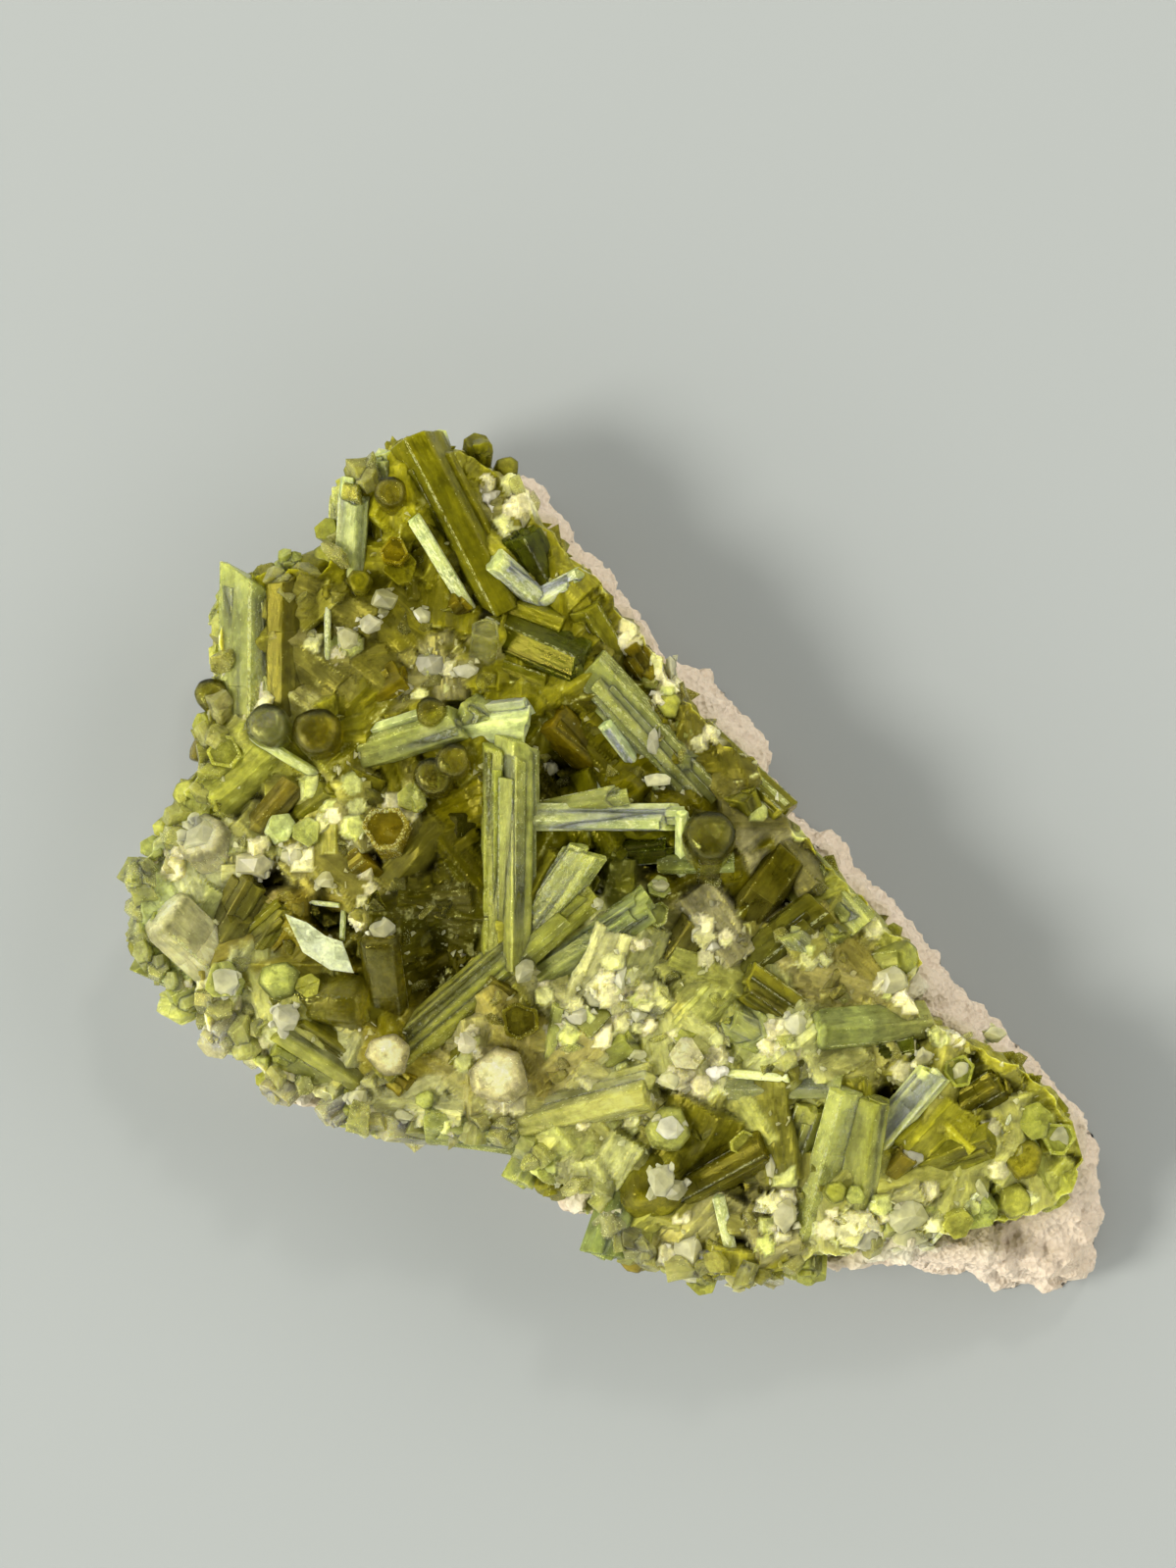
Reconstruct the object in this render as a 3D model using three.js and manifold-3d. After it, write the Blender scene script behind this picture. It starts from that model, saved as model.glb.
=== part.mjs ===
// Green tourmaline in quartz: a crust of grown-together prisms on a slab of quartz matrix.
// Millimetres, +Z up. The slab is cut flat at z = 0 and rests on the cut, crystals upwards.
import * as THREE from 'three';
import { mergeVertices } from 'three/addons/utils/BufferGeometryUtils.js';
import Module from 'manifold-3d';

const wasm = await Module();
wasm.setup();

// Driving dimensions of the whole specimen.
const BED_HEIGHT = 6.6;           // bed of the crystals above the cut base, near the edges
const BED_UNEVENNESS = 0.4;       // how far its humps rise and its hollows sink
const CRUST_THICKNESS = 2.4;      // from the bed down to the quartz below it
const CLEARANCE = 0.3;            // gap kept between the crust and the quartz it grows on
const BED_PITCH = 4.0;            // size of the bed's facets
const WALL_STEPS = 4;             // courses of lumps up the side of the quartz
const WALL_PITCH = 2.2;           // spacing of the lumps round the side
const WALL_ROUGHNESS = 0.45;      // how far those lumps stand out
const RIM_PITCH = 3.5;            // spacing of the small crystals round the free edge
const RIM_REACH = 1.9;            // length of one of them, at most
const FOOT_DEPTH = 0.9;           // how far a crystal's foot is rooted below the bed
const SIDES = 6;                  // sides of every prism

// Two broad swells of the bed: centre x, centre y, half width, half length, rise.
const SWELLS = [
  [-7, 1, 13.5, 14, 2.3],
  [12, -13, 11, 8, 1.5],
];

// Dark pits between the crystals: x, y, radius, depth.
const PITS = [
  [-2.6, 4.3, 1.4, 1.5],
  [-9.0, -6.0, 1.6, 1.5],
  [4.9, -1.6, 1.1, 1.3],
  [-14.2, -2.7, 1.1, 1.2],
  [5.2, -16.2, 1.4, 1.1],
];

// Edge of the crystal crust, clockwise from the top of the specimen.
const CRUST_EDGE = [
  [-10.6, 21.4], [-8.4, 21.1], [-6.0, 20.3], [-4.5, 19.1], [-3.0, 16.8], [-1.0, 14.5],
  [1.5, 11.6], [3.5, 9.1], [5.0, 7.1], [8.0, 4.3], [9.4, 1.8], [11.0, 0.0], [13.4, -2.5],
  [15.7, -4.6], [15.5, -6.1], [16.2, -8.0], [19.0, -9.4], [21.5, -10.9], [23.4, -12.7],
  [24.1, -15.0], [23.4, -17.0], [21.0, -18.9], [17.0, -19.9], [11.5, -20.8], [7.0, -21.3],
  [3.5, -20.9], [0.7, -19.8], [-0.5, -17.7], [-1.7, -16.8], [-3.6, -16.0], [-4.9, -14.4],
  [-7.5, -13.8], [-12.0, -13.5], [-13.6, -12.8], [-15.0, -11.6], [-17.2, -10.6],
  [-19.2, -9.6], [-21.0, -7.5], [-22.6, -6.2], [-23.9, -4.6], [-24.0, -2.0], [-23.2, 0.4],
  [-21.9, 2.6], [-20.9, 4.6], [-20.6, 7.2], [-19.9, 9.4], [-19.8, 12.0], [-19.0, 14.2],
  [-16.6, 14.8], [-14.4, 15.2], [-13.4, 18.0], [-12.2, 20.2],
];
// The free edge runs from this corner round the left side to the top.
const FREE_EDGE_START = 23;

// Edge of the quartz at the cut base, clockwise: x, y, how far the side leans in at the top.
const QUARTZ_EDGE = [
  [-5.0, 20.1, 0.5], [-3.7, 19.2, 0.9], [-2.3, 17.5, 1.3], [-1.0, 15.9, 1.3], [0.4, 14.4, 1.2],
  [1.8, 12.6, 0.9], [3.0, 10.9, 0.8], [5.1, 9.6, 1.3], [6.8, 7.8, 1.5], [8.2, 6.2, 1.4],
  [8.7, 4.5, 0.9], [10.0, 2.5, 0.9], [11.2, 1.6, 1.2], [12.6, 0.9, 1.7], [13.1, -0.3, 1.5],
  [14.6, -1.6, 1.4], [16.6, -3.9, 1.6], [18.6, -6.4, 2.3], [20.6, -8.4, 1.9], [22.1, -10.0, 1.5],
  [23.9, -12.0, 1.3], [25.3, -13.8, 1.1], [25.9, -16.5, 1.4], [25.8, -20.3, 2.2],
  [24.9, -22.2, 2.3], [22.8, -22.7, 2.2], [21.0, -22.6, 2.1], [19.3, -21.9, 1.6],
  [17.0, -21.5, 1.1], [14.8, -21.1, 0.7], [10.8, -20.9, 0.3], [6.0, -20.2, 0], [2.6, -19.2, 0],
  [0.5, -17.8, 0], [-1.6, -16.4, 0], [-3.6, -14.0, 0], [-8.0, -12.5, 0], [-12.5, -11.8, 0],
  [-15.6, -11.2, 0], [-18.8, -8.6, 0], [-21.0, -5.6, 0], [-22.3, -3.0, 0], [-21.8, -0.5, 0],
  [-20.2, 2.2, 0], [-19.2, 5.0, 0], [-18.6, 9.0, 0], [-18.0, 12.4, 0], [-15.6, 13.5, 0],
  [-13.2, 14.6, 0], [-12.2, 17.6, 0], [-10.8, 20.0, 0], [-8.0, 20.4, 0],
];

// Lumps of white quartz that rise from the matrix between the crystals:
// x, y, height of the top above the bed, half sizes along x and y.
const QUARTZ_LUMPS = [
  [-5.6, 18.3, 1.8, 1.7, 1.7],
  [-9.0, 10.0, 1.6, 1.2, 1.0],
  [-1.3, -16.8, 1.3, 1.2, 1.6],
  [8.4, -19.0, 1.7, 1.3, 1.9],
  [14.9, -19.6, 1.2, 3.0, 1.1],
  [14.5, -6.8, 1.6, 1.4, 1.2],
  [5.3, -10.7, 2.4, 1.4, 1.6],
  [-15.6, -11.5, 0.9, 1.5, 1.2],
  [-19.2, -8.7, 1.4, 1.7, 1.3],
];
const LUMP_ROOT = 1.2;            // how far a lump is rooted in the slab
const LUMP_SIDES = 7;             // facets round it
const LUMP_UNEVENNESS = 0.2;      // how far its surface departs from a plain oval

// Crystals: foot x, y and height above the bed; tip x, y and height; width; kind of end.
// A dome is a rounded end, a flat is a bevelled basal face, a point is a low pyramid and a
// slant is a broken or oblique face.
const CRYSTALS = {
  // Top of the specimen.
  great_olive_prism: [-5.7, 13.7, 0.7, -9.8, 21.7, 1.5, 2.6, 'flat'],
  crown_dome: [-11.0, 18.2, 0, -11.1, 19.0, 2.9, 1.7, 'dome'],
  frosted_upright: [-13.3, 14.0, 0.9, -12.9, 19.9, 1.0, 1.8, 'slant'],
  disc_topped: [-10.7, 15.2, 0, -10.9, 15.9, 2.5, 1.5, 'flat'],
  disc_neighbour: [-10.5, 14.6, 0, -10.6, 15.1, 2.0, 1.7, 'dome'],
  corner_prism_b: [-6.9, 19.8, 0.1, -6.6, 21.6, 0.6, 1.6, 'flat'],
  orange_prism: [-9.6, 11.5, 0.4, -7.2, 13.4, 0.8, 2.0, 'flat'],
  ringed_end: [-6.5, 9.8, 0.3, -6.1, 12.4, 2.3, 1.5, 'dome'],
  amber_block: [-3.0, 13.9, 0.6, -4.7, 16.9, 1.0, 2.4, 'flat'],
  pale_edged_prism: [-5.7, 13.3, 0.8, -2.2, 12.1, 1.2, 1.7, 'flat'],
  deep_green_prism: [-5.5, 11.9, 0.8, -1.1, 9.9, 1.6, 2.6, 'flat'],
  green_facets: [3.7, 4.9, 0, 3.9, 5.4, 1.3, 1.8, 'point'],

  // Upper left shoulder.
  shoulder_point: [-16.2, 13.8, 0, -16.4, 15.9, 0.6, 1.6, 'point'],
  shoulder_olive: [-15.0, 13.6, 0, -15.1, 15.7, 0.4, 2.1, 'dome'],
  great_left_prism: [-17.9, 8.0, 0.4, -18.0, 15.0, 0.7, 3.8, 'flat'],
  rough_hollow_prism: [-15.0, 8.2, 0.2, -14.9, 14.0, 0.5, 2.2, 'slant'],
  clear_dome: [-14.9, 4.0, 0.2, -17.5, 7.1, 2.6, 2.3, 'dome'],
  dark_dome: [-13.6, 4.4, 0.3, -14.8, 6.9, 2.9, 2.6, 'dome'],
  honey_prism: [-14.0, 7.2, 0.5, -10.4, 9.5, 0.9, 2.1, 'flat'],
  far_left_dome: [-20.1, 8.3, 0, -20.4, 8.7, 1.7, 1.8, 'dome'],
  left_round: [-19.3, 5.4, 0, -19.6, 5.7, 1.8, 1.8, 'dome'],
  left_edge_olive: [-21.0, 3.2, 0, -21.9, 3.6, 0.6, 1.6, 'dome'],

  // Left middle.
  white_topped_boss: [-20.0, 0.3, 0, -20.9, 1.5, 1.7, 3.1, 'flat'],
  olive_lath_a: [-18.9, 0.7, 0.5, -16.0, 4.0, 0.9, 1.6, 'flat'],
  olive_lath_b: [-16.6, 1.9, 0.6, -13.9, 4.1, 1.0, 1.8, 'flat'],
  yellow_boss: [-15.3, 1.3, 0, -15.4, 1.6, 1.6, 1.5, 'dome'],
  horizontal_prism: [-12.9, 5.5, 1.0, -7.5, 7.2, 1.8, 1.9, 'flat'],
  black_cap_dome: [-8.9, 7.0, 0, -9.0, 7.8, 3.0, 1.6, 'dome'],
  pale_square_left: [-7.6, 5.6, 0.6, -6.5, 8.0, 1.9, 1.9, 'flat'],
  great_pillar: [-5.0, -4.5, 0.9, -4.9, 8.2, 2.1, 2.7, 'slant'],
  twin_dome_left: [-8.7, 4.0, 0, -8.9, 4.5, 2.5, 2.1, 'dome'],
  twin_dome_right: [-7.8, 4.8, 0, -7.9, 5.3, 2.2, 1.9, 'dome'],
  six_sided_end: [-10.9, 0.9, 0, -11.3, 1.8, 2.5, 2.4, 'flat'],
  pale_stub: [-9.8, 2.8, 0, -10.0, 3.4, 1.9, 1.6, 'flat'],
  dark_striated_block: [-8.1, -4.0, 0.3, -8.1, 3.2, 0.9, 3.6, 'flat'],
  left_olive_prism: [-13.4, 0.6, 0.2, -12.2, 4.6, 0.6, 2.2, 'flat'],

  // Middle.
  long_blade: [-3.4, 2.3, 1.5, 4.0, 2.3, 1.9, 1.5, 'slant'],
  frosted_stub: [-4.0, -3.6, 1.2, -1.1, 0.6, 2.0, 1.9, 'flat'],
  bluish_prism: [-2.7, -5.3, 1.1, 2.2, -1.9, 1.9, 2.0, 'flat'],
  long_diagonal: [-11.0, -10.0, 0.9, -0.9, -1.2, 1.6, 1.9, 'flat'],
  great_dome: [5.1, -0.3, 0.2, 5.15, 2.0, 3.8, 2.8, 'dome'],
  olive_slab: [6.4, -6.0, 0.1, 11.0, -2.4, 0.5, 2.9, 'flat'],
  segmented_prism: [12.3, -6.6, 0.7, 9.4, -3.7, 1.2, 1.5, 'flat'],
  lemon_prism_a: [10.2, -0.1, 0, 13.1, -3.3, 0.5, 1.7, 'flat'],
  shoulder_knob: [13.4, -5.3, 0, 15.6, -4.9, 0.5, 2.0, 'dome'],

  // Lower left.
  clear_grey_boss: [-19.8, -6.3, 0, -22.9, -2.3, 1.3, 3.4, 'dome'],
  brown_facets: [-20.2, -4.4, 0.2, -18.0, -0.8, 0.6, 2.6, 'slant'],
  capped_prism: [-11.0, -7.2, 0.7, -11.5, -3.3, 2.1, 1.8, 'dome'],
  frosted_knob: [-11.0, -9.9, 0, -11.3, -9.7, 2.5, 2.3, 'dome'],
  dark_ringed_end: [-4.4, -8.3, 0, -4.5, -8.0, 2.0, 1.9, 'dome'],
  grey_boss: [-16.6, -6.3, 0, -16.8, -5.9, 2.0, 2.1, 'dome'],
  recumbent_dome: [-16.2, -6.8, 0.5, -12.2, -7.3, 1.2, 2.8, 'dome'],
  olive_runner: [-12.4, -11.3, 0.5, -16.8, -7.5, 1.6, 1.8, 'dome'],
  corner_facet: [-20.3, -6.5, 0, -22.7, -7.6, 0.5, 2.3, 'slant'],
  sparkling_cube: [-19.4, -6.4, 0, -19.6, -6.0, 2.0, 2.0, 'flat'],
  green_corner: [-13.4, -11.5, 0.3, -17.3, -9.3, 0.8, 1.7, 'slant'],
  long_edge_prism: [-5.3, -14.0, 0.1, -13.9, -12.9, 0.5, 2.3, 'flat'],

  // Bottom middle.
  white_round_end: [-5.4, -11.3, 0, -5.7, -10.7, 2.4, 2.9, 'dome'],
  ribbed_cylinder: [-4.8, -13.4, 0.6, 2.3, -11.4, 1.4, 2.4, 'flat'],
  ribbed_end: [3.0, -13.9, 0, 3.1, -13.5, 2.2, 2.4, 'dome'],
  broad_dome: [2.0, -15.9, 0, 2.3, -17.8, 1.1, 3.1, 'dome'],
  grey_green_prism: [1.0, -16.6, 0.4, -0.3, -20.2, 0.8, 2.3, 'flat'],
  lime_block: [1.8, -17.6, 0.1, 1.3, -20.5, 0.3, 1.8, 'flat'],
  dark_striped_prism: [3.8, -17.4, 0.2, 8.0, -14.2, 0.6, 2.3, 'flat'],
  edge_prism_a: [-3.4, -14.3, 0, -4.7, -16.6, 0.3, 1.7, 'flat'],
  edge_prism_b: [-2.5, -14.5, 0.1, -3.0, -17.1, 0.3, 1.7, 'flat'],
  edge_prism_c: [5.6, -18.2, 0.1, 6.3, -21.2, 0.3, 2.0, 'flat'],
  edge_prism_e: [10.6, -19.0, 0.2, 10.4, -21.4, 0.2, 1.6, 'flat'],
  knob_by_patch: [3.9, -10.1, 0, 4.0, -9.7, 1.8, 1.7, 'dome'],
  white_edged_prism: [6.0, -11.2, 0.9, 11.6, -11.1, 1.2, 1.4, 'flat'],
  beige_facet: [9.2, -9.4, 0.2, 5.9, -7.9, 0.8, 2.2, 'slant'],

  // Lower right.
  grey_lying_dome: [15.4, -8.3, 0.6, 10.5, -8.6, 1.5, 2.3, 'dome'],
  dark_wedge: [12.2, -10.2, 0.4, 16.2, -9.2, 0.8, 2.0, 'slant'],
  bright_green_prism: [14.2, -13.6, 0.8, 17.1, -10.2, 1.9, 2.0, 'flat'],
  beige_round: [17.7, -10.9, 0, 17.9, -10.6, 2.1, 1.7, 'dome'],
  brown_triangle: [18.3, -12.4, 0.3, 20.6, -10.8, 0.8, 2.1, 'point'],
  far_right_dome: [22.8, -14.4, 0, 23.2, -14.1, 1.4, 1.9, 'dome'],
  tall_grey_prism: [9.9, -21.0, 0.4, 12.1, -11.4, 1.8, 1.8, 'flat'],
  olive_right_face: [12.7, -17.2, 0.6, 13.3, -11.9, 1.3, 2.1, 'flat'],
  olive_left_face: [8.8, -17.2, 0.4, 10.6, -12.3, 0.9, 1.7, 'flat'],
  lime_lump_a: [21.4, -13.6, 0, 21.8, -13.2, 1.3, 2.0, 'flat'],
  lime_lump_b: [21.0, -15.4, 0, 21.3, -15.1, 1.4, 2.1, 'dome'],
  lime_lump_c: [19.2, -18.0, 0, 18.9, -18.9, 0.9, 1.9, 'flat'],
  lime_lump_d: [17.7, -18.6, 0, 17.9, -19.4, 1.0, 1.6, 'flat'],
  lime_lump_e: [20.6, -17.2, 0, 21.2, -17.9, 0.7, 2.1, 'dome'],
  cream_prism: [17.0, -16.9, 0.3, 13.6, -18.3, 0.7, 2.1, 'flat'],
  amber_stub: [13.6, -16.6, 0.3, 15.6, -14.6, 0.8, 2.0, 'flat'],
};

// The same number between 0 and 1 every time for the same n.
function scatter(n) {
  const s = Math.sin(n * 127.1 + 311.7) * 43758.5453;
  return s - Math.floor(s);
}

// Height of the crystals' bed above the cut base.
function bed(x, y) {
  let z = BED_HEIGHT + BED_UNEVENNESS * Math.sin(0.9 * x + 0.4 * y) * Math.cos(0.7 * y - 0.3 * x);
  for (const [cx, cy, a, b, rise] of SWELLS) {
    z += rise * Math.exp(-(((x - cx) / a) ** 2) - ((y - cy) / b) ** 2);
  }
  for (const [cx, cy, radius, depth] of PITS) {
    z -= depth * Math.exp(-((x - cx) ** 2 + (y - cy) ** 2) / radius ** 2);
  }
  return z;
}

// A closed geometry as a solid, turned right side out.
function toSolid(geometry) {
  const bare = geometry.clone();
  for (const name of Object.keys(bare.attributes)) {
    if (name !== 'position') bare.deleteAttribute(name);
  }
  const merged = mergeVertices(bare, 1e-4);
  const p = merged.attributes.position.array;
  const index = merged.index.array;
  const triangles = [];
  let volume = 0;
  for (let i = 0; i < index.length; i += 3) {
    const [a, b, c] = [index[i], index[i + 1], index[i + 2]];
    if (a === b || b === c || c === a) continue;
    triangles.push(a, b, c);
    const va = new THREE.Vector3().fromArray(p, 3 * a);
    const vb = new THREE.Vector3().fromArray(p, 3 * b);
    const vc = new THREE.Vector3().fromArray(p, 3 * c);
    volume += va.dot(vb.cross(vc));
  }
  if (volume < 0) triangles.reverse();
  return new wasm.Manifold(new wasm.Mesh({
    numProp: 3,
    vertProperties: new Float32Array(p),
    triVerts: new Uint32Array(triangles),
  }));
}

// A solid's own surface as a geometry.
function toGeometry(solid) {
  const mesh = solid.getMesh();
  const geometry = new THREE.BufferGeometry();
  geometry.setAttribute('position', new THREE.BufferAttribute(mesh.vertProperties, 3));
  geometry.setIndex(new THREE.BufferAttribute(mesh.triVerts, 1));
  geometry.computeVertexNormals();
  return geometry;
}

// Half outline of a crystal of radius 1 and the given length, from the foot's centre to the tip's.
function crystalProfile(length, radius, end) {
  const cap = Math.min(radius, 0.6 * length);
  const outlines = {
    dome: [[1, length - 0.75 * cap], [0.64, length - 0.15 * cap]],
    flat: [[1, length]],
    point: [[1, length - 0.7 * cap]],
    slant: [[1, length]],
  };
  const points = [[0, 0], [1, 0], ...outlines[end], [0, length]];
  return points.map(([x, y]) => new THREE.Vector2(x, y));
}

// One tourmaline: a prism with three broad and three narrow sides, rooted in the bed.
function crystal([x0, y0, h0, x1, y1, h1, width, end], number) {
  const foot = new THREE.Vector3(x0, y0, bed(x0, y0) + h0);
  const tip = new THREE.Vector3(x1, y1, bed(x1, y1) + h1);
  const along = tip.clone().sub(foot);
  const length = along.length() + FOOT_DEPTH;
  along.normalize();
  foot.addScaledVector(along, -FOOT_DEPTH);
  const radius = width / 2;
  const geometry = new THREE.LatheGeometry(crystalProfile(length, radius, end), SIDES);
  geometry.rotateX(Math.PI / 2);
  const p = geometry.attributes.position;
  for (let i = 0; i < p.count; i++) {
    const [x, y, z] = [p.getX(i), p.getY(i), p.getZ(i)];
    const swell = radius * (1.04 - 0.06 * Math.cos(3 * Math.atan2(y, x)));
    const drop = end === 'slant' && z > length - 0.001 ? 0.9 * radius * (1 + x) : 0;
    p.setXYZ(i, x * swell, y * swell, z - drop);
  }
  geometry.rotateZ(scatter(number) * Math.PI);
  const turn = new THREE.Quaternion().setFromUnitVectors(new THREE.Vector3(0, 0, 1), along);
  geometry.applyQuaternion(turn);
  geometry.translate(foot.x, foot.y, foot.z);
  return toSolid(geometry);
}

// Points at an even pitch along a closed edge given by its corners.
function walkEdge(corners, pitch) {
  const curve = new THREE.CatmullRomCurve3(
    corners.map(([x, y, lean = 0]) => new THREE.Vector3(x, y, lean)), true, 'centripetal');
  return curve.getSpacedPoints(Math.round(curve.getLength() / pitch)).slice(0, -1);
}

// Direction pointing out of a clockwise edge at its point i.
function outward(points, i) {
  const before = points[(i + points.length - 1) % points.length];
  const after = points[(i + 1) % points.length];
  return new THREE.Vector2(before.y - after.y, after.x - before.x).normalize();
}

// A block whose top follows the bed at the given offset and which reaches down to the floor.
function bedBlock(offset, floor) {
  const size = 56;
  const cells = Math.round(size / BED_PITCH);
  const geometry = new THREE.BoxGeometry(size, size, 1, cells, cells, 1);
  const p = geometry.attributes.position;
  for (let i = 0; i < p.count; i++) {
    const top = bed(p.getX(i), p.getY(i)) + offset;
    p.setZ(i, p.getZ(i) > 0 ? top : floor ?? top - CRUST_THICKNESS);
  }
  return toSolid(geometry);
}

// A slab of the crust's outline, tall enough to trim the bed with.
function crustTrim() {
  const shape = new THREE.Shape(CRUST_EDGE.map(([x, y]) => new THREE.Vector2(x, y)));
  return toSolid(new THREE.ExtrudeGeometry(shape, { depth: 20, bevelEnabled: false }));
}

// The quartz's side wall: lumpy, leaning in towards the top on the broken side.
function quartzTrim(grow) {
  const height = 12;
  const walk = walkEdge(QUARTZ_EDGE, WALL_PITCH);
  const outlines = walk.map((point, i) => ({ point, out: outward(walk, i) }));
  const shape = new THREE.Shape(walk.map((v) => new THREE.Vector2(v.x, v.y)));
  const geometry = new THREE.ExtrudeGeometry(shape, {
    depth: height, steps: WALL_STEPS + 2, bevelEnabled: false,
  });
  const p = geometry.attributes.position;
  for (let i = 0; i < p.count; i++) {
    const [x, y, z] = [p.getX(i), p.getY(i), p.getZ(i)];
    const { point, out } = outlines.reduce((best, entry) => {
      const near = (v) => Math.hypot(v.x - x, v.y - y);
      return near(entry.point) < near(best.point) ? entry : best;
    });
    const rise = Math.min(z / BED_HEIGHT, 1);
    const lump = WALL_ROUGHNESS * Math.sin(2.3 * x + 1.9 * z) * Math.cos(2.1 * y - 1.3 * z);
    const step = lump + grow - point.z * rise * rise * 1.3;
    p.setXY(i, x + out.x * step, y + out.y * step);
  }
  return toSolid(geometry);
}

// One lump of quartz, a little uneven, rooted in the slab and larger by grow all round.
function quartzLump([x, y, h, a, b], number, grow) {
  const halfHeight = (h + CRUST_THICKNESS + CLEARANCE + LUMP_ROOT) / 2;
  const outline = [[0, -1], [0.75, -0.7], [1, 0], [0.74, 0.72], [0, 1]];
  const profile = outline.map(([across, up]) => new THREE.Vector2(across, up));
  const geometry = new THREE.LatheGeometry(profile, LUMP_SIDES).rotateX(Math.PI / 2);
  const p = geometry.attributes.position;
  for (let i = 0; i < p.count; i++) {
    const [u, v, w] = [p.getX(i), p.getY(i), p.getZ(i)];
    const swell = 1 + LUMP_UNEVENNESS * Math.sin(5 * u + number) * Math.cos(4 * v + 3 * w);
    p.setXYZ(i, u * (a * swell + grow), v * (b * swell + grow), w * (halfHeight * swell + grow));
  }
  geometry.translate(x, y, bed(x, y) + h - halfHeight);
  return toSolid(geometry);
}

// Small crystals that stand out all round the free edge of the crust, some of them drooping.
function rimCrystals() {
  const walk = walkEdge(CRUST_EDGE, RIM_PITCH);
  const start = CRUST_EDGE[FREE_EDGE_START];
  const first = walk.findIndex((v) => Math.hypot(v.x - start[0], v.y - start[1]) < RIM_PITCH);
  const rows = [];
  for (let i = first; i < walk.length; i++) {
    const out = outward(walk, i);
    const [a, b, c] = [scatter(i), scatter(i + 200), scatter(i + 400)];
    const reach = RIM_REACH * (0.45 + 0.35 * a);
    const side = 0.9 * (b - 0.5);
    const foot = [walk[i].x - 0.9 * out.x, walk[i].y - 0.9 * out.y, -0.8 - 0.5 * c];
    const tip = [
      walk[i].x + reach * 0.55 * (out.x - side * out.y),
      walk[i].y + reach * 0.55 * (out.y + side * out.x),
      -1.3 + 1.1 * b,
    ];
    rows.push([...foot, ...tip, 1.1 + 0.7 * c, ['flat', 'dome', 'slant'][i % 3]]);
  }
  return rows;
}

function largestBody(solid) {
  return solid.decompose().reduce((best, next) => (next.volume() > best.volume() ? next : best));
}

function buildQuartz() {
  const slab = bedBlock(-CRUST_THICKNESS - CLEARANCE, -1).intersect(quartzTrim(0));
  const lumps = QUARTZ_LUMPS.map((row, i) => quartzLump(row, i, 0));
  return largestBody(wasm.Manifold.union([slab, ...lumps]));
}

function buildTourmaline() {
  const mat = bedBlock(0).intersect(crustTrim());
  const rows = [...Object.values(CRYSTALS), ...rimCrystals()];
  const grown = wasm.Manifold.union([mat, ...rows.map(crystal)]);
  const beneath = bedBlock(-CRUST_THICKNESS, -1).intersect(quartzTrim(CLEARANCE));
  const lumps = QUARTZ_LUMPS.map((row, i) => quartzLump(row, i, CLEARANCE));
  return largestBody(grown.subtract(wasm.Manifold.union([beneath, ...lumps])));
}

const quartzFinish = new THREE.MeshStandardMaterial({
  name: 'sugary_quartz', color: 0xd8c8b6, roughness: 0.7, metalness: 0,
});
const tourmalineFinish = new THREE.MeshStandardMaterial({
  name: 'green_tourmaline', color: 0x8f8f2a, roughness: 0.25, metalness: 0,
});

const specimen = new THREE.Group();
for (const [name, solid, finish] of [
  ['quartz_matrix', buildQuartz(), quartzFinish],
  ['tourmaline_crystals', buildTourmaline(), tourmalineFinish],
]) {
  const mesh = new THREE.Mesh(toGeometry(solid), finish);
  mesh.name = name;
  specimen.add(mesh);
}

// The origin is on the cut base, under the middle of the specimen.
const box = new THREE.Box3().setFromObject(specimen);
const middle = box.getCenter(new THREE.Vector3());
specimen.position.set(-middle.x, -middle.y, -box.min.z);

export default specimen;
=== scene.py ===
# Green tourmaline in quartz: striated green prisms grown through and over each other on a slab
# of sugary quartz. Metres, +Z up. The specimen lies on its flat cut, crystals upwards, and the
# camera looks down on it.
import math
from collections import namedtuple

import bmesh
import bpy
import numpy as np
from mathutils import Matrix, Vector, noise


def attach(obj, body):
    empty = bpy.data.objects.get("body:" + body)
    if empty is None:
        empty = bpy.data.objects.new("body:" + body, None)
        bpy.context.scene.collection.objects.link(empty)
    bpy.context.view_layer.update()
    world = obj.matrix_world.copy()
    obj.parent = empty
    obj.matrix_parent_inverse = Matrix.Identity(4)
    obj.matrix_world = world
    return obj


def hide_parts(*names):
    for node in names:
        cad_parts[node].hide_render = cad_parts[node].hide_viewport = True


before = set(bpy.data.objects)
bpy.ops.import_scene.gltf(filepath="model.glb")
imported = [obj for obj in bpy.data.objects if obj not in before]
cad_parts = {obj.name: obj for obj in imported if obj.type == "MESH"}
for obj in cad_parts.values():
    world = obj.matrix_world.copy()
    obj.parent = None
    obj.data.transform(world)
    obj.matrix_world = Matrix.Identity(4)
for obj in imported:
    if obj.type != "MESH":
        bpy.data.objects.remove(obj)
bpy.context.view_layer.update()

# Sizes of the layout below are millimetres; everything built from it is in metres.
MM = 0.001
# The layout's own centre sits this far from the frame's origin.
LAYOUT_SHIFT = Vector((-0.632, 0.367, 0.0))
# The photograph's frame: width and height in pixels, pixels to the millimetre, and how far the
# layout's centre lies from its left and upper edges. It is measured this high above the cut.
PHOTO_WIDTH = 1199
PHOTO_HEIGHT = 1599
PHOTO_SCALE = 20
PHOTO_CENTRE = (31, 44)
PHOTO_LEVEL = 9.5

# The bed that the crystals grow from: its height above the flat cut, its unevenness, and how
# far the crust reaches down from it to the top of the matrix.
BED_HEIGHT = 6.6
BED_UNEVENNESS = 0.4
CRUST_DEPTH = 2.1
# Blocks that follow the bed are this wide, which is more than the specimen. The one round the
# crust reaches this high above the bed.
BLOCK_SIZE = 54
HEADROOM = 5.0
# The room that the crust is trimmed to: its height and the pitch of its rough wall.
ROOM_HEIGHT = 13
EDGE_PITCH = 0.5
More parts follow.
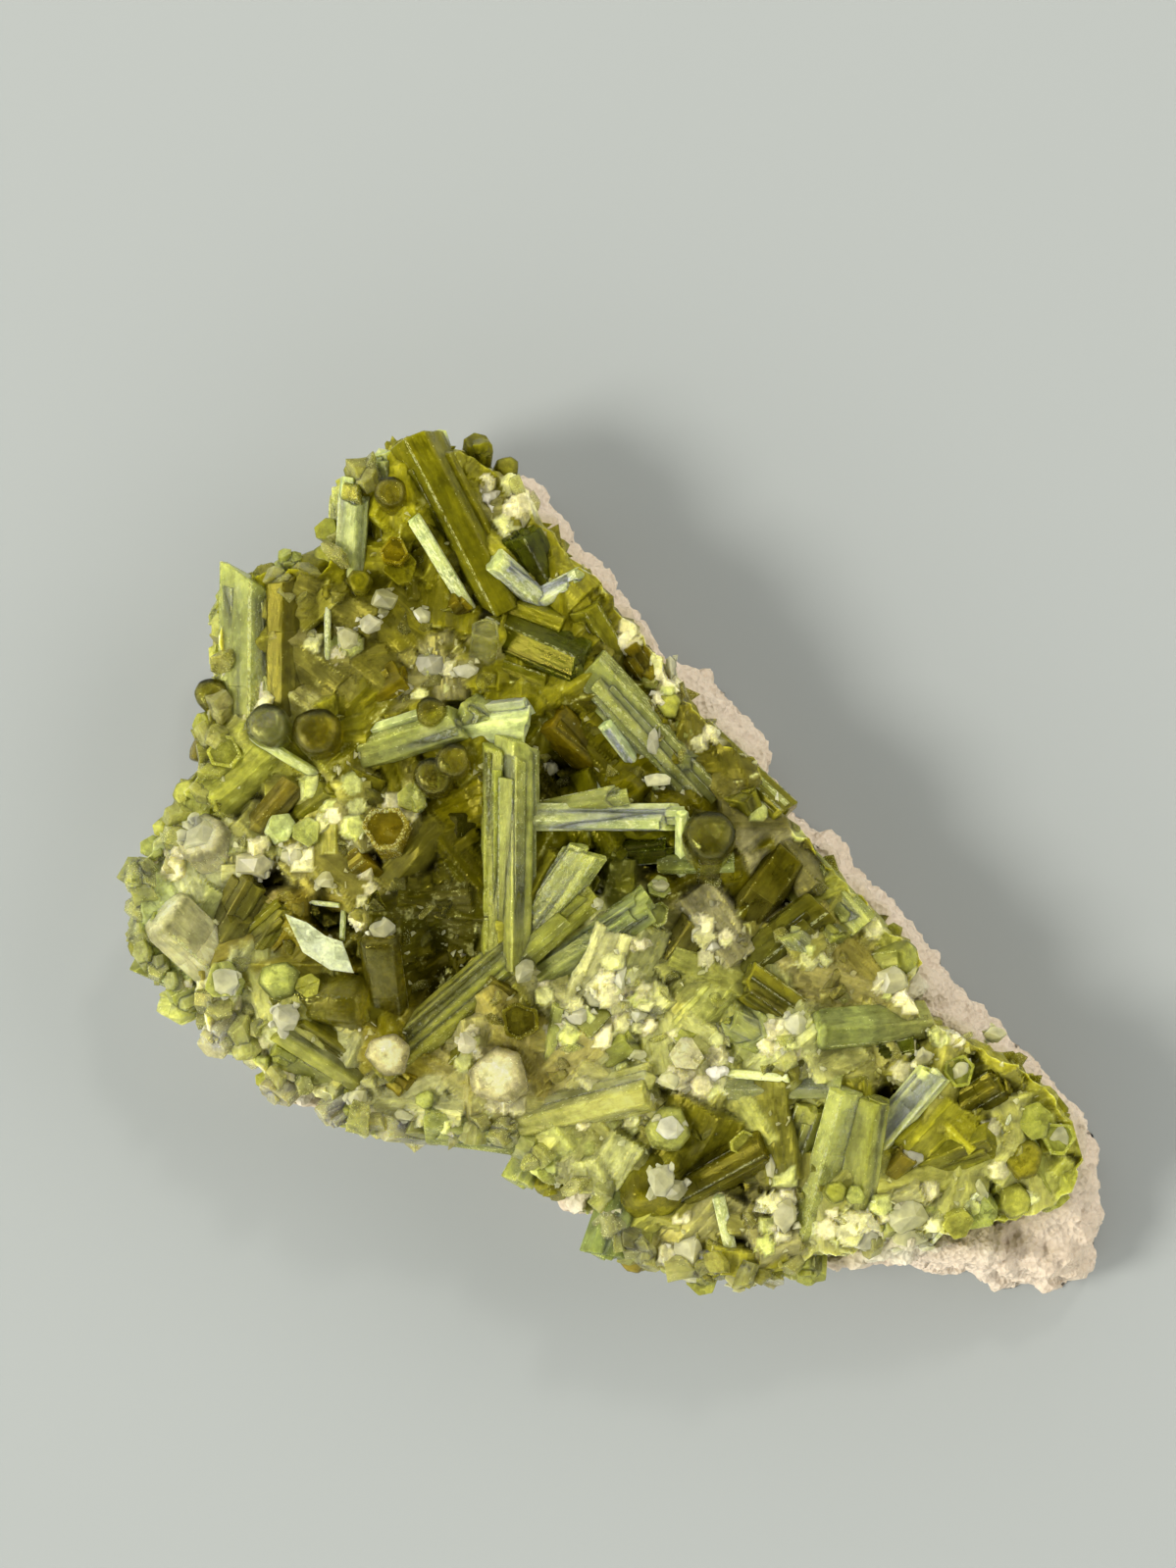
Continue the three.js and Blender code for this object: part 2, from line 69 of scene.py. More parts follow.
# Points of the crust this near to its edge are its flank, apart from those this near to the
# side where it meets the matrix.
FLANK_REACH = 0.9
MATRIX_SIDE_REACH = 1.2
# The slab of the matrix before its top is cut to the bed, and the pitch of its even mesh.
SLAB_HEIGHT = 7.5
MATRIX_PITCH = 0.28
# Above this height over the cut the matrix is rough, and below this one it is pressed flat.
ROUGH_FROM = 0.3
FLAT_UNDER = 0.16

# The ground between the named crystals is a mass of prisms grown into each other. Its relief is
# worked out on a square grid of this size and pitch, about this far above the bed, and no part
# of it lies lower than this from there.
GROUND_SIZE = 52.0
GROUND_PITCH = 0.13
GROUND_LIFT = 1.0
GROUND_LOWEST = -0.7
# Its kinds of prism: how many, half lengths, half widths, heights of the top above the ground,
# and whether some of them stand upright.
GROUND_KINDS = [
    (700, (1.4, 3.6), (0.7, 1.6), (-0.3, 0.2), False),
    (1300, (0.3, 1.1), (0.2, 0.5), (-0.5, 0.05), True),
]
# One in this many of the small ones stands upright.
UPRIGHT_EVERY = 7
# The ways the small prisms run, in degrees from the layout's x.
GROUND_HEADINGS = (40, 52, 95, 128, 140, 10)
# Columns that a lying prism is grown from: their width, and how much higher or lower than the
# prism one may be.
COLUMN_WIDTH = 0.45
COLUMN_STEP = 0.07
# Places in the grain of one body lie this far from those in the next.
GRAIN_APART = 3.1

# How far the ground climbs against the named crystals at most, and how quickly it falls away.
BANK_RISE = 0.9
BANK_REACH = 0.6
# Dark crystals lie deep in the ground and pale ones stand clear of it: how far the ground lies
# above or below a crystal's axis, as a share of its width.
BANK_SHARE = {"olive": 0.18, "brown": 0.2, "dark": 0.1, "blade_shadow_green": 0.2, "honey": 0.2, "deep": 0.1}
CLEAR_SHARE = -0.15

# How far a crystal's foot reaches into the ground along its axis, and how much deeper than the
# layout says the foot lies.
FOOT_DEPTH = 0.9
FOOT_SINK = 0.8
# Rings up a crystal's shaft lie about this far apart or more. At this share of them the shaft is
# cracked across, and the crack's middle lies this far from either side of it.
RING_PITCH = 0.9
CRACK_SHARE = 0.12
CRACK_REACH = 0.04
# Crystals at least this wide and this long are bundles of columns, apart from those with a
# rounded or rimmed end.
BUNDLE_WIDTH = 0.9
BUNDLE_LENGTH = 1.2
# The small crystals round the free edge: how far apart they stand, the scale of how far they
# reach out, and their tones in turn.
RIM_PITCH = 3.5
RIM_REACH = 1.9
RIM_TONES = ["lime", "olive", "sugar", "lime", "honey", "frosted"]

# The rings that close each kind of end: how far short of the tip, as a share of the end's
# height, how wide, as a share of the crystal's width, and how light.
END_RINGS = {
    "flat": [(0.05, 1.0, 1.0), (0.0, 0.94, 1.0), (-0.01, 0.5, 1.0)],
    "slant": [(0.0, 1.0, 1.0), (0.0, 0.62, 1.0), (0.0, 0.25, 1.0)],
    "point": [(0.7, 1.0, 1.0), (0.34, 0.52, 1.0), (0.1, 0.16, 1.0)],
    # A rim is light and its middle dark.
    "rimmed": [(0.1, 1.0, 1.0), (0.0, 0.96, 1.25), (0.0, 0.8, 1.25), (0.06, 0.76, 0.75),
               (0.04, 0.4, 0.9)],
    # A rounded end is painted dark at its shoulder and light in its middle: painted shade and a painted
    # glow where a clear dome bends the light.
    "capped": [(0.62, 1.0, 0.6), (0.36, 0.95, 0.5), (0.17, 0.84, 0.75), (0.06, 0.66, 1.15),
               (0.015, 0.46, 1.3), (0.0, 0.25, 1.35)],
}
# A dome is the same, but flatter.
END_RINGS["dome"] = [(0.6 * short, share, light) for short, share, light in END_RINGS["capped"]]
# How much rounder than a tourmaline's own section a crystal with a rounded end is.
ROUNDNESS = {"capped": 0.7, "dome": 0.2}
# How thick the frosted plate is.
PLATE_THICKNESS = 0.25

# Two broad swells of the bed: centre x, centre y, half width, half length, rise.
SWELLS = [
    (-7, 1, 13.5, 14, 2.3),
    (12, -13, 11, 8, 1.5),
]

# Pits between the crystals, painted dark as shade in them: x, y, radius, depth.
PITS = [
    (-2.6, 4.3, 1.4, 1.5),
    (-9.0, -6.0, 1.6, 1.5),
    (-9.3, -3.9, 1.0, 1.2),
    (4.9, -1.6, 1.1, 1.3),
    (-14.2, -2.7, 1.1, 1.2),
    (5.2, -16.2, 1.4, 1.1),
]

# Edge of the crystal crust, clockwise from the top of the specimen.
CRUST_EDGE = [
    (-10.6, 21.4), (-8.4, 21.1), (-6.0, 20.3), (-4.5, 19.1), (-3.0, 16.8), (-1.0, 14.5),
    (1.5, 11.6), (3.5, 9.1), (5.0, 7.1), (8.0, 4.3), (9.4, 1.8), (11.0, 0.0), (13.4, -2.5),
    (15.7, -4.6), (15.5, -6.1), (16.2, -8.0), (19.0, -9.4), (21.5, -10.9), (23.4, -12.7),
    (24.1, -15.0), (23.2, -16.9), (21.0, -18.3), (17.0, -18.9), (12.0, -20.0), (7.0, -21.3),
    (3.5, -20.9), (0.7, -19.8), (-0.5, -17.7), (-1.7, -16.8), (-3.6, -16.0), (-4.9, -14.4),
    (-7.5, -13.8), (-12.0, -13.5), (-13.6, -12.8), (-15.0, -11.6), (-17.2, -10.6),
    (-19.2, -9.6), (-21.0, -7.5), (-22.6, -6.2), (-23.9, -4.6), (-24.0, -2.0), (-23.2, 0.4),
    (-21.9, 2.6), (-20.9, 4.6), (-20.6, 7.2), (-19.9, 9.4), (-19.8, 12.0), (-19.0, 14.2),
    (-16.6, 14.8), (-14.4, 15.2), (-13.4, 18.0), (-12.2, 20.2),
]
# The first corner of the free edge, where no matrix shows beside the crust.
FREE_EDGE_START = 24

# Edge of the quartz at the cut base, clockwise: x, y, how far the side leans in at the top.
QUARTZ_EDGE = [
    (-5.0, 20.1, 0.5), (-3.7, 19.2, 0.9), (-2.3, 17.5, 1.3), (-1.0, 15.9, 1.3), (0.4, 14.4, 1.2),
    (1.8, 12.6, 0.9), (3.0, 10.9, 0.8), (5.1, 9.6, 1.3), (6.8, 7.8, 1.5), (8.2, 6.2, 1.4),
    (8.7, 4.5, 0.9), (10.0, 2.5, 0.9), (11.2, 1.6, 1.2), (12.6, 0.9, 1.7), (13.1, -0.3, 1.5),
    (14.6, -1.6, 1.4), (16.6, -3.9, 1.6), (18.6, -6.4, 2.3), (20.6, -8.4, 1.9), (22.1, -10.0, 1.5),
    (23.9, -12.0, 1.3), (25.3, -13.8, 1.1), (25.9, -16.5, 1.4), (25.8, -20.3, 2.2),
    (24.9, -22.2, 2.3), (22.8, -22.7, 2.2), (21.0, -22.6, 2.1), (19.3, -21.9, 1.6),
    (17.0, -21.5, 1.1), (14.8, -21.1, 0.7), (10.8, -20.9, 0.3), (6.0, -20.2, 0), (2.6, -19.2, 0),
    (0.5, -17.8, 0), (-1.6, -16.4, 0), (-3.6, -14.0, 0), (-8.0, -12.5, 0), (-12.5, -11.8, 0),
    (-15.6, -11.2, 0), (-18.8, -8.6, 0), (-21.0, -5.6, 0), (-22.3, -3.0, 0), (-21.8, -0.5, 0),
    (-20.2, 2.2, 0), (-19.2, 5.0, 0), (-18.6, 9.0, 0), (-18.0, 12.4, 0), (-15.6, 13.5, 0),
    (-13.2, 14.6, 0), (-12.2, 17.6, 0), (-10.8, 20.0, 0), (-8.0, 20.4, 0),
]

# Lumps of white quartz that rise from the matrix between the crystals:
# x, y, height of the top above the bed, half sizes along x and y.
QUARTZ_LUMPS = [
    (-5.6, 18.3, 1.2, 1.9, 1.7),
    (-9.0, 10.0, 0.9, 1.2, 1.0),
    (-1.3, -16.8, 0.8, 1.2, 1.6),
    (8.4, -19.0, 0.9, 1.4, 1.9),
    (14.9, -19.4, 0.9, 2.8, 1.3),
    (18.6, -19.8, -0.6, 2.2, 1.3),
    (12.2, -20.4, -0.5, 1.6, 0.9),
    (14.5, -6.8, 1.0, 1.6, 1.3),
    (5.3, -10.7, 1.1, 1.4, 1.6),
    (-15.6, -11.5, 0.6, 1.5, 1.2),
    (-19.2, -8.7, 0.9, 1.7, 1.3),
]
# How deep a lump is rooted in the slab.
LUMP_ROOT = 1.8
# How far the green of the crystals soaks into the quartz beside them, and how much of it.
STAIN_REACH = 1.2
STAIN_SHARE = 0.75

# Crystals: foot x, y and height above the bed; tip x, y and height; width; kind of end; tone;
# how much of the surface is frosted, from 0 to 1.
CRYSTALS = {
    # Top of the specimen.
    "great_olive_prism": (-5.7, 13.7, 0.9, -9.8, 21.7, 1.7, 2.8, "flat", "olive", 0.25),
    "white_faced_prism": (-11.0, 18.0, 0.5, -11.8, 21.1, 1.3, 1.5, "slant", "frosted", 1.0),
    "crown_dome": (-11.0, 18.2, 0, -11.1, 19.0, 2.9, 1.7, "capped", "amber_glass", 0),
    "olive_strip": (-11.5, 15.2, 0.6, -12.2, 20.0, 0.8, 1.0, "flat", "olive", 0.1),
    "frosted_upright": (-13.3, 14.0, 0.9, -12.9, 19.9, 1.0, 1.8, "slant", "frosted", 0.5),
    "pale_facet_left": (-14.0, 14.0, 0, -13.8, 19.2, 0.1, 1.1, "slant", "pale", 0.6),
    "yellow_knob": (-12.9, 19.6, 0, -13.0, 20.3, 0.9, 1.2, "dome", "lime", 0),
    "edge_knob_high": (-14.0, 16.8, -0.3, -14.5, 17.1, 0.5, 1.3, "flat", "lime", 0.2),
    "edge_knob_low": (-14.0, 15.6, -0.3, -14.5, 15.8, 0.8, 1.5, "dome", "lime", 0.2),
    "disc_topped": (-10.7, 15.2, 0, -10.9, 15.9, 2.7, 1.5, "rimmed", "honey", 0.2),
    "disc_neighbour": (-10.5, 14.6, 0, -10.6, 15.1, 2.0, 1.7, "flat", "olive", 0.1),
    "olive_knob": (-12.5, 14.0, 0, -12.7, 14.4, 2.3, 1.3, "dome", "olive", 0),
    "corner_prism_a": (-8.0, 19.6, 0.3, -8.8, 21.9, 0.9, 1.2, "flat", "frosted", 0.6),
    "corner_prism_b": (-6.9, 19.8, 0.1, -6.6, 21.6, 0.6, 1.6, "flat", "olive", 0.2),
    "corner_prism_c": (-5.6, 19.5, -0.2, -5.1, 20.5, 0.3, 1.3, "dome", "olive", 0.3),
    "orange_prism": (-9.6, 11.5, 0.4, -7.2, 13.4, 0.8, 2.0, "flat", "honey", 0),
    "ringed_end": (-6.5, 9.8, 0.3, -6.2, 11.9, 2.5, 1.5, "rimmed", "grey", 0.2),
    "amber_block": (-3.0, 13.9, 0.6, -4.7, 16.9, 1.0, 2.4, "flat", "deep", 0),
    "frosted_v_left": (-3.5, 13.5, 1.6, -5.8, 15.5, 1.9, 1.3, "flat", "frosted", 0.9),
    "frosted_v_right": (-3.5, 13.5, 1.6, -1.1, 14.7, 1.9, 1.2, "slant", "frosted", 0.9),
    "pale_edged_prism": (-5.7, 13.3, 0.8, -2.2, 12.1, 1.2, 1.7, "flat", "olive", 0.3),
    "deep_green_prism": (-5.5, 11.9, 0.9, -1.1, 9.9, 1.7, 2.6, "flat", "deep", 0),
    "green_companion": (-6.2, 10.0, 0.6, -2.8, 8.8, 0.8, 2.0, "flat", "olive", 0.2),
    "small_ring": (-1.6, 11.3, 0, -1.5, 11.8, 1.5, 1.2, "dome", "olive", 0),
    "flat_olive_a": (0.8, 10.0, 0.8, -1.2, 13.2, 1.2, 2.2, "flat", "olive", 0.1),
    "flat_olive_b": (3.3, 7.9, 0.5, 1.0, 11.2, 1.0, 1.9, "slant", "honey", 0.1),
    "frosted_band": (4.4, 4.0, 0.8, -1.3, 10.1, 1.5, 2.6, "flat", "pale", 0.6),
    "frosted_blade_high": (3.0, 5.6, 1.0, -0.4, 9.3, 1.3, 1.2, "flat", "frosted", 0.8),
    "frosted_blade_mid": (0.4, 6.5, 0.9, -1.1, 8.9, 1.3, 1.2, "flat", "frosted", 0.8),
    "frosted_blade_low": (2.3, 4.0, 0.9, -0.2, 7.3, 1.3, 1.1, "flat", "frosted", 0.8),
    "frosted_blade_thin": (-7.5, 13.7, 2.0, -9.9, 17.6, 2.3, 0.8, "flat", "frosted", 0.9),
    "pale_knob_a": (2.0, 9.0, 0, 2.2, 9.5, 1.3, 1.3, "dome", "lime", 0.2),
    "pale_knob_b": (2.9, 7.9, 0, 3.1, 8.1, 1.3, 1.4, "dome", "lime", 0.3),
    "pale_knob_c": (3.6, 6.6, 0, 3.8, 6.8, 1.0, 1.2, "dome", "lime", 0.2),
    "green_facets": (3.7, 4.9, 0, 3.9, 5.4, 1.3, 1.8, "point", "pale", 0.4),
    "edge_prism_right": (5.3, 5.9, 0.6, 9.0, 2.4, 1.0, 1.9, "flat", "olive", 0.2),
    "edge_line_right": (5.4, 6.4, 1.3, 9.1, 2.9, 1.6, 0.5, "flat", "pale", 0.5),
    "amber_flat": (-0.6, 5.2, 0.4, -3.2, 7.6, 1.1, 2.4, "flat", "honey", 0),

    # Upper left shoulder.
    "shoulder_point": (-16.2, 13.8, 0, -16.4, 15.9, 0.6, 1.6, "point", "pale", 0.3),
    "shoulder_olive": (-15.0, 13.6, 0, -15.1, 15.7, 0.4, 2.1, "dome", "olive", 0),
    # The great left prism is a pale crystal with a dark one along its right: the pale left face is
    # partly frost and partly painted light, and the dark right one is painted shade on the side away
    # from the light.
    "great_left_prism": (-18.4, 8.0, 0.9, -18.3, 14.7, 1.2, 3.1, "flat", "pale", 0.6),
    "great_left_painted_shade": (-16.7, 8.2, 1.3, -16.6, 14.6, 1.6, 2.2, "flat", "brown", 0.0),
    "left_knob_a": (-19.3, 13.5, 0, -19.8, 13.9, 0.6, 1.2, "point", "pale", 0.3),
    "left_knob_b": (-19.3, 12.0, 0, -20.0, 12.2, 0.4, 1.3, "flat", "pale", 0.5),
    "left_knob_c": (-19.4, 10.4, 0, -20.1, 10.6, 0.2, 1.2, "flat", "lime", 0.5),
    "rough_hollow_prism": (-15.0, 8.2, 0.0, -14.9, 14.0, 0.2, 2.2, "slant", "brown", 0.35),
    "white_line_a": (-14.4, 9.0, 1.3, -14.35, 13.5, 1.5, 0.35, "flat", "frosted", 1.0),
    "white_line_b": (-13.6, 9.0, 0.9, -13.75, 11.6, 1.0, 0.3, "flat", "frosted", 1.0),
    "clear_dome": (-16.9, 6.3, 0, -17.4, 7.2, 2.9, 2.3, "capped", "grey", 0.05),
    "clear_dome_edge": (-14.7, 4.4, 1.7, -18.3, 6.6, 1.8, 0.6, "flat", "cream", 0.8),
    "dark_dome": (-14.6, 6.1, 0, -14.9, 6.8, 3.1, 2.6, "capped", "amber_glass", 0),
    "honey_prism": (-14.0, 7.2, 0.5, -10.4, 9.5, 0.9, 2.1, "flat", "honey", 0.1),
    "far_left_dome": (-20.1, 8.3, 0, -20.4, 8.7, 1.7, 1.8, "capped", "amber_glass", 0),
    "far_left_block": (-19.8, 7.4, 0, -20.9, 7.0, 0.8, 1.3, "flat", "lime", 0.1),
    "left_round": (-19.3, 5.4, 0, -19.6, 5.7, 1.8, 1.8, "rimmed", "lime", 0.3),
    "left_ring": (-20.0, 3.7, 0, -20.3, 3.9, 1.7, 1.4, "rimmed", "lime", 0.3),
    "left_edge_olive": (-21.0, 3.2, 0, -21.9, 3.6, 0.6, 1.6, "dome", "lime", 0.1),
    "left_wall_prism": (-18.6, 5.4, 0.2, -19.9, 10.0, 0.5, 1.4, "slant", "lime", 0.4),

    # Left middle.
    "white_topped_boss": (-20.0, 0.3, 0, -20.9, 1.5, 1.6, 2.9, "dome", "sugar", 0.4),
    "olive_lath_a": (-18.9, 0.7, 0.5, -16.0, 4.0, 0.9, 1.6, "flat", "honey", 0.1),
    "olive_lath_b": (-16.6, 1.9, 0.6, -13.9, 4.1, 1.0, 1.8, "flat", "olive", 0.1),
    "tablet": (-17.3, 1.2, 0.3, -16.6, 1.9, 1.8, 1.4, "flat", "cream", 0.5),
    "yellow_boss": (-15.3, 1.3, 0, -15.4, 1.6, 1.8, 1.5, "flat", "pale", 0.3),
    "lemon_knob_a": (-23.0, 0.5, 0, -23.5, 0.8, 0.8, 1.3, "flat", "pale", 0.6),
    "lemon_knob_b": (-23.4, -0.4, 0, -23.9, -0.3, 0.7, 1.3, "point", "pale", 0.5),
    "lemon_knob_c": (-23.6, -1.3, 0, -24.2, -1.2, 0.6, 1.2, "dome", "lime", 0.3),
    "lemon_knob_d": (-22.6, 1.6, 0, -22.9, 1.9, 0.8, 1.2, "point", "lime", 0.3),
    "horizontal_prism": (-12.9, 5.5, 1.0, -7.5, 7.2, 1.7, 1.9, "flat", "pale", 0.5),
    "horizontal_band": (-12.7, 6.6, 1.4, -9.5, 7.6, 1.9, 0.7, "flat", "frosted", 0.5),
    # This dome's dark top is painted shade, the same dark crescent as on the other glassy domes.
    "painted_crescent_dome": (-8.9, 7.0, 0, -9.0, 7.8, 3.0, 1.6, "capped", "amber_glass", 0),
    "pale_square_left": (-7.6, 5.6, 0.6, -6.5, 8.0, 1.9, 1.9, "flat", "pale", 0.3),
    "great_pillar": (-4.7, -4.5, 1.4, -4.6, 6.3, 2.4, 2.3, "flat", "pale", 0.25),
    "pillar_left_face": (-5.7, -4.6, 1.1, -5.6, 6.0, 2.1, 1.6, "flat", "lime", 0.45),
    "pillar_cap": (-7.4, 6.6, 1.2, -4.0, 7.0, 2.0, 2.4, "flat", "cream", 0.6),
    "pillar_cap_edge": (-6.6, 7.7, 2.0, -4.0, 8.0, 2.3, 1.0, "flat", "frosted", 0.8),
    "twin_dome_left": (-8.7, 4.0, 0, -8.9, 4.5, 2.5, 2.1, "capped", "amber_glass", 0.05),
    "twin_dome_right": (-7.8, 4.8, 0, -7.9, 5.3, 2.3, 1.9, "capped", "amber_glass", 0),
    "six_sided_end": (-10.9, 0.9, 0, -11.3, 1.8, 2.3, 2.4, "rimmed", "honey", 0.6),
    "pale_stub": (-9.8, 2.8, 0, -10.0, 3.4, 1.9, 1.6, "flat", "pale", 0.5),
    "dark_striated_block": (-8.1, -4.8, -1.0, -8.1, 3.2, -0.7, 4.4, "flat", "dark", 0.15),
    "left_olive_prism": (-13.4, 0.6, 0.2, -12.2, 4.6, 0.6, 2.2, "flat", "olive", 0.1),
    "left_amber_prism": (-14.6, -1.6, 0.2, -12.0, 0.4, 0.5, 2.2, "flat", "honey", 0.1),

    # Middle.
    "long_blade": (-3.4, 2.3, 1.8, 4.0, 2.3, 2.2, 1.5, "slant", "cream", 0.6),
    "blade_shelf": (-3.3, 2.6, 1.4, 0.9, 3.5, 2.1, 1.2, "slant", "pale", 0.6),
    # This dark green bed under the long blade is painted shadow of the blade.
    "blade_shadow_bed": (-2.2, 0.5, 0.6, 3.2, 1.0, 0.9, 1.9, "flat", "blade_shadow_green", 0.1),
    "small_pale_blade": (-1.4, 5.2, 0.9, -0.5, 3.6, 1.3, 0.5, "flat", "frosted", 0.7),
    "frosted_stub": (-4.0, -3.6, 1.1, -1.1, 0.6, 2.0, 2.2, "flat", "pale", 0.7),
    "bluish_prism": (-2.7, -5.3, 1.1, 2.2, -1.9, 1.9, 2.0, "flat", "sea", 0.5),
    "long_diagonal": (-11.0, -10.0, 0.8, -0.9, -1.2, 1.4, 2.2, "flat", "lime", 0.4),
    "great_dome": (5.1, -0.1, 0.4, 5.15, 1.7, 4.0, 2.8, "capped", "amber_glass", 0),
    "dome_frame": (3.75, -0.2, 1.8, 3.75, 2.6, 3.0, 0.7, "dome", "cream", 0.7),
    "dome_base": (3.5, 0.0, 1.8, 6.4, 0.1, 2.0, 1.2, "flat", "sea", 0.4),
    "olive_slab": (6.4, -6.0, 0.3, 11.0, -2.4, 0.7, 2.9, "flat", "brown", 0.05),
    "segmented_prism": (12.3, -6.6, 0.9, 9.2, -3.4, 1.5, 1.6, "flat", "pale", 0.4),
    "lemon_prism_a": (10.2, -0.1, 0.7, 13.1, -3.3, 1.3, 1.8, "flat", "pale", 0.5),
    "lemon_prism_b": (9.6, -1.6, 0.8, 11.9, -4.0, 1.3, 1.4, "flat", "lime", 0.3),
    "shoulder_knob": (13.4, -5.3, 0.4, 15.6, -4.9, 1.3, 2.0, "dome", "lime", 0),
    "shadow_slab": (6.9, -3.0, 0.4, 9.4, 0.5, 1.0, 2.4, "flat", "brown", 0),
    "brown_flat": (2.0, -7.2, 0, 4.6, -3.2, 0.4, 2.5, "flat", "brown", 0),
    "right_flat": (8.2, 1.0, 0.5, 6.7, 3.8, 1.1, 2.0, "flat", "olive", 0.1),
    "pebble_a": (2.5, -1.6, 0, 2.6, -1.2, 1.7, 1.2, "flat", "pale", 0.5),
    "pebble_b": (2.4, -2.9, 0, 2.5, -2.6, 1.8, 1.3, "rimmed", "pale", 0.3),

    # Lower left.
    "clear_grey_boss": (-20.0, -5.4, 0.4, -22.9, -2.5, 1.8, 3.2, "dome", "sugar", 0.1),
    "brown_facets": (-20.2, -4.4, 0.2, -18.0, -0.8, 0.6, 2.6, "slant", "brown", 0.1),
    "brown_facets_low": (-19.0, -5.6, 0.2, -16.4, -1.9, 0.6, 2.0, "flat", "olive", 0.1),
    "thin_pair_a": (-19.1, -4.0, 1.0, -16.7, -2.0, 1.4, 0.6, "flat", "olive", 0.2),
    "thin_pair_b": (-18.9, -4.8, 1.0, -16.5, -2.8, 1.4, 0.6, "flat", "olive", 0.2),
    "capped_prism": (-11.2, -7.4, 1.0, -11.6, -3.6, 2.3, 2.0, "dome", "amber_glass", 0),
    "frosted_knob": (-11.0, -9.9, 0, -11.3, -9.7, 2.2, 2.2, "dome", "sugar", 0.3),
    "dark_ringed_end": (-4.4, -8.3, 0, -4.5, -8.0, 2.2, 2.0, "rimmed", "brown", 0.15),
    "thin_upright": (-3.1, -10.7, 1.4, -2.5, -7.2, 1.8, 0.7, "flat", "pale", 0.4),
    "grey_boss": (-16.6, -6.3, 0, -16.8, -5.9, 2.0, 2.1, "dome", "pale", 0.3),
    "lime_stub": (-15.3, -6.9, 0.2, -15.3, -6.2, 1.9, 1.3, "flat", "lime", 0.1),
    "recumbent_dome": (-16.0, -6.9, 0.8, -12.2, -7.3, 1.4, 2.9, "dome", "amber_glass", 0),
    "olive_runner": (-12.4, -11.5, 0.8, -17.0, -8.4, 1.7, 1.6, "flat", "lime", 0.2),
    "dark_runner": (-12.6, -10.4, 0.7, -16.0, -8.0, 1.2, 1.5, "flat", "olive", 0),
    "runner_line": (-13.2, -10.7, 1.7, -16.8, -8.0, 2.0, 0.25, "flat", "cream", 0.9),
    "corner_stub": (-22.6, -5.9, 0, -24.1, -5.1, 0.8, 1.3, "flat", "lime", 0.2),
    "corner_facet": (-20.3, -6.5, 0.3, -22.7, -7.6, 1.0, 2.3, "slant", "pale", 0.5),
    "sparkling_cube": (-19.4, -6.4, 0, -19.6, -6.0, 2.0, 2.0, "flat", "pale", 0.4),
    # The near-black crystal inside the frosted frames is painted shade, the dark of a hole among the
    # crystals.
    "painted_shade_hole": (-14.4, -3.1, 0.4, -14.4, -2.4, 1.5, 1.7, "flat", "black", 0),
    "window_frame_top": (-15.3, -2.0, 1.5, -13.7, -2.15, 1.7, 0.28, "flat", "frosted", 0.9),
    "window_frame_side": (-13.5, -2.2, 1.5, -13.55, -3.9, 1.7, 0.32, "flat", "frosted", 0.7),
    "green_corner": (-13.4, -11.5, 0.8, -17.3, -9.3, 1.4, 1.7, "slant", "lime", 0.3),
    "cream_block_a": (-18.6, -7.4, 0.6, -20.4, -9.4, 1.2, 1.8, "flat", "sugar", 0.5),
    "cream_block_b": (-15.6, -10.4, 0.4, -17.2, -12.0, 0.9, 1.9, "flat", "sugar", 0.5),
    "cream_block_c": (-12.4, -12.0, 0.6, -14.6, -13.2, 1.0, 1.5, "flat", "sugar", 0.5),
    "cream_block_d": (-9.6, -13.9, 0.7, -11.6, -13.6, 1.1, 1.4, "flat", "sugar", 0.6),
    "lime_edge_knob": (-16.8, -11.0, 0, -17.5, -11.2, 0.5, 1.3, "flat", "lime", 0.1),
    "long_edge_prism": (-5.2, -13.9, 0.4, -9.4, -13.2, 0.9, 2.3, "flat", "pale", 0.5),
    "long_edge_low": (-9.0, -13.5, 0.1, -13.6, -12.7, 0.6, 2.1, "flat", "lime", 0.6),
    "amber_runner": (-13.0, -9.4, 0.1, -10.0, -11.6, 0.6, 1.7, "flat", "honey", 0),
    "buried_olive": (-9.6, -11.9, 0.1, -6.9, -9.4, 0.5, 2.0, "flat", "olive", 0.1),
    "buried_green": (-7.6, -8.6, 0, -5.2, -5.8, 0.5, 2.2, "flat", "brown", 0),
    "beige_knob": (-9.2, -12.3, 0.4, -9.4, -12.1, 1.7, 1.0, "dome", "pale", 0.3),

    # Bottom middle.
    "white_round_end": (-5.4, -11.3, 0, -5.7, -10.7, 2.3, 3.0, "dome", "sugar", 0.4),
    "ribbed_cylinder": (-4.8, -13.4, 0.6, 2.3, -11.4, 1.4, 2.4, "flat", "lemon", 0.35),
    "ribbed_end": (3.0, -13.9, 0, 3.1, -13.5, 2.0, 2.3, "dome", "pale", 0.4),
    "pale_round": (6.8, -14.6, 0, 6.9, -14.3, 1.7, 1.4, "rimmed", "lime", 0.3),
    "broad_dome": (2.0, -15.9, 0, 2.3, -17.8, 1.1, 3.1, "dome", "olive", 0),
    "grey_green_prism": (1.0, -16.6, 0.4, -0.3, -20.2, 0.8, 2.3, "flat", "sea", 0.3),
    "lime_block": (1.8, -17.6, 0.1, 1.3, -20.5, 0.3, 1.8, "flat", "lime", 0.1),
    "dark_striped_prism": (3.8, -17.0, 0.6, 8.2, -14.3, 1.0, 2.2, "flat", "brown", 0.1),
    "thin_white_blade": (6.1, -19.0, 1.2, 5.6, -16.9, 1.7, 0.7, "point", "frosted", 0.9),
    "edge_prism_a": (-3.4, -14.3, 0, -4.7, -16.6, 0.3, 1.7, "flat", "pale", 0.4),
    "edge_prism_b": (-2.5, -14.5, 0.1, -3.0, -17.1, 0.3, 1.7, "flat", "olive", 0.2),
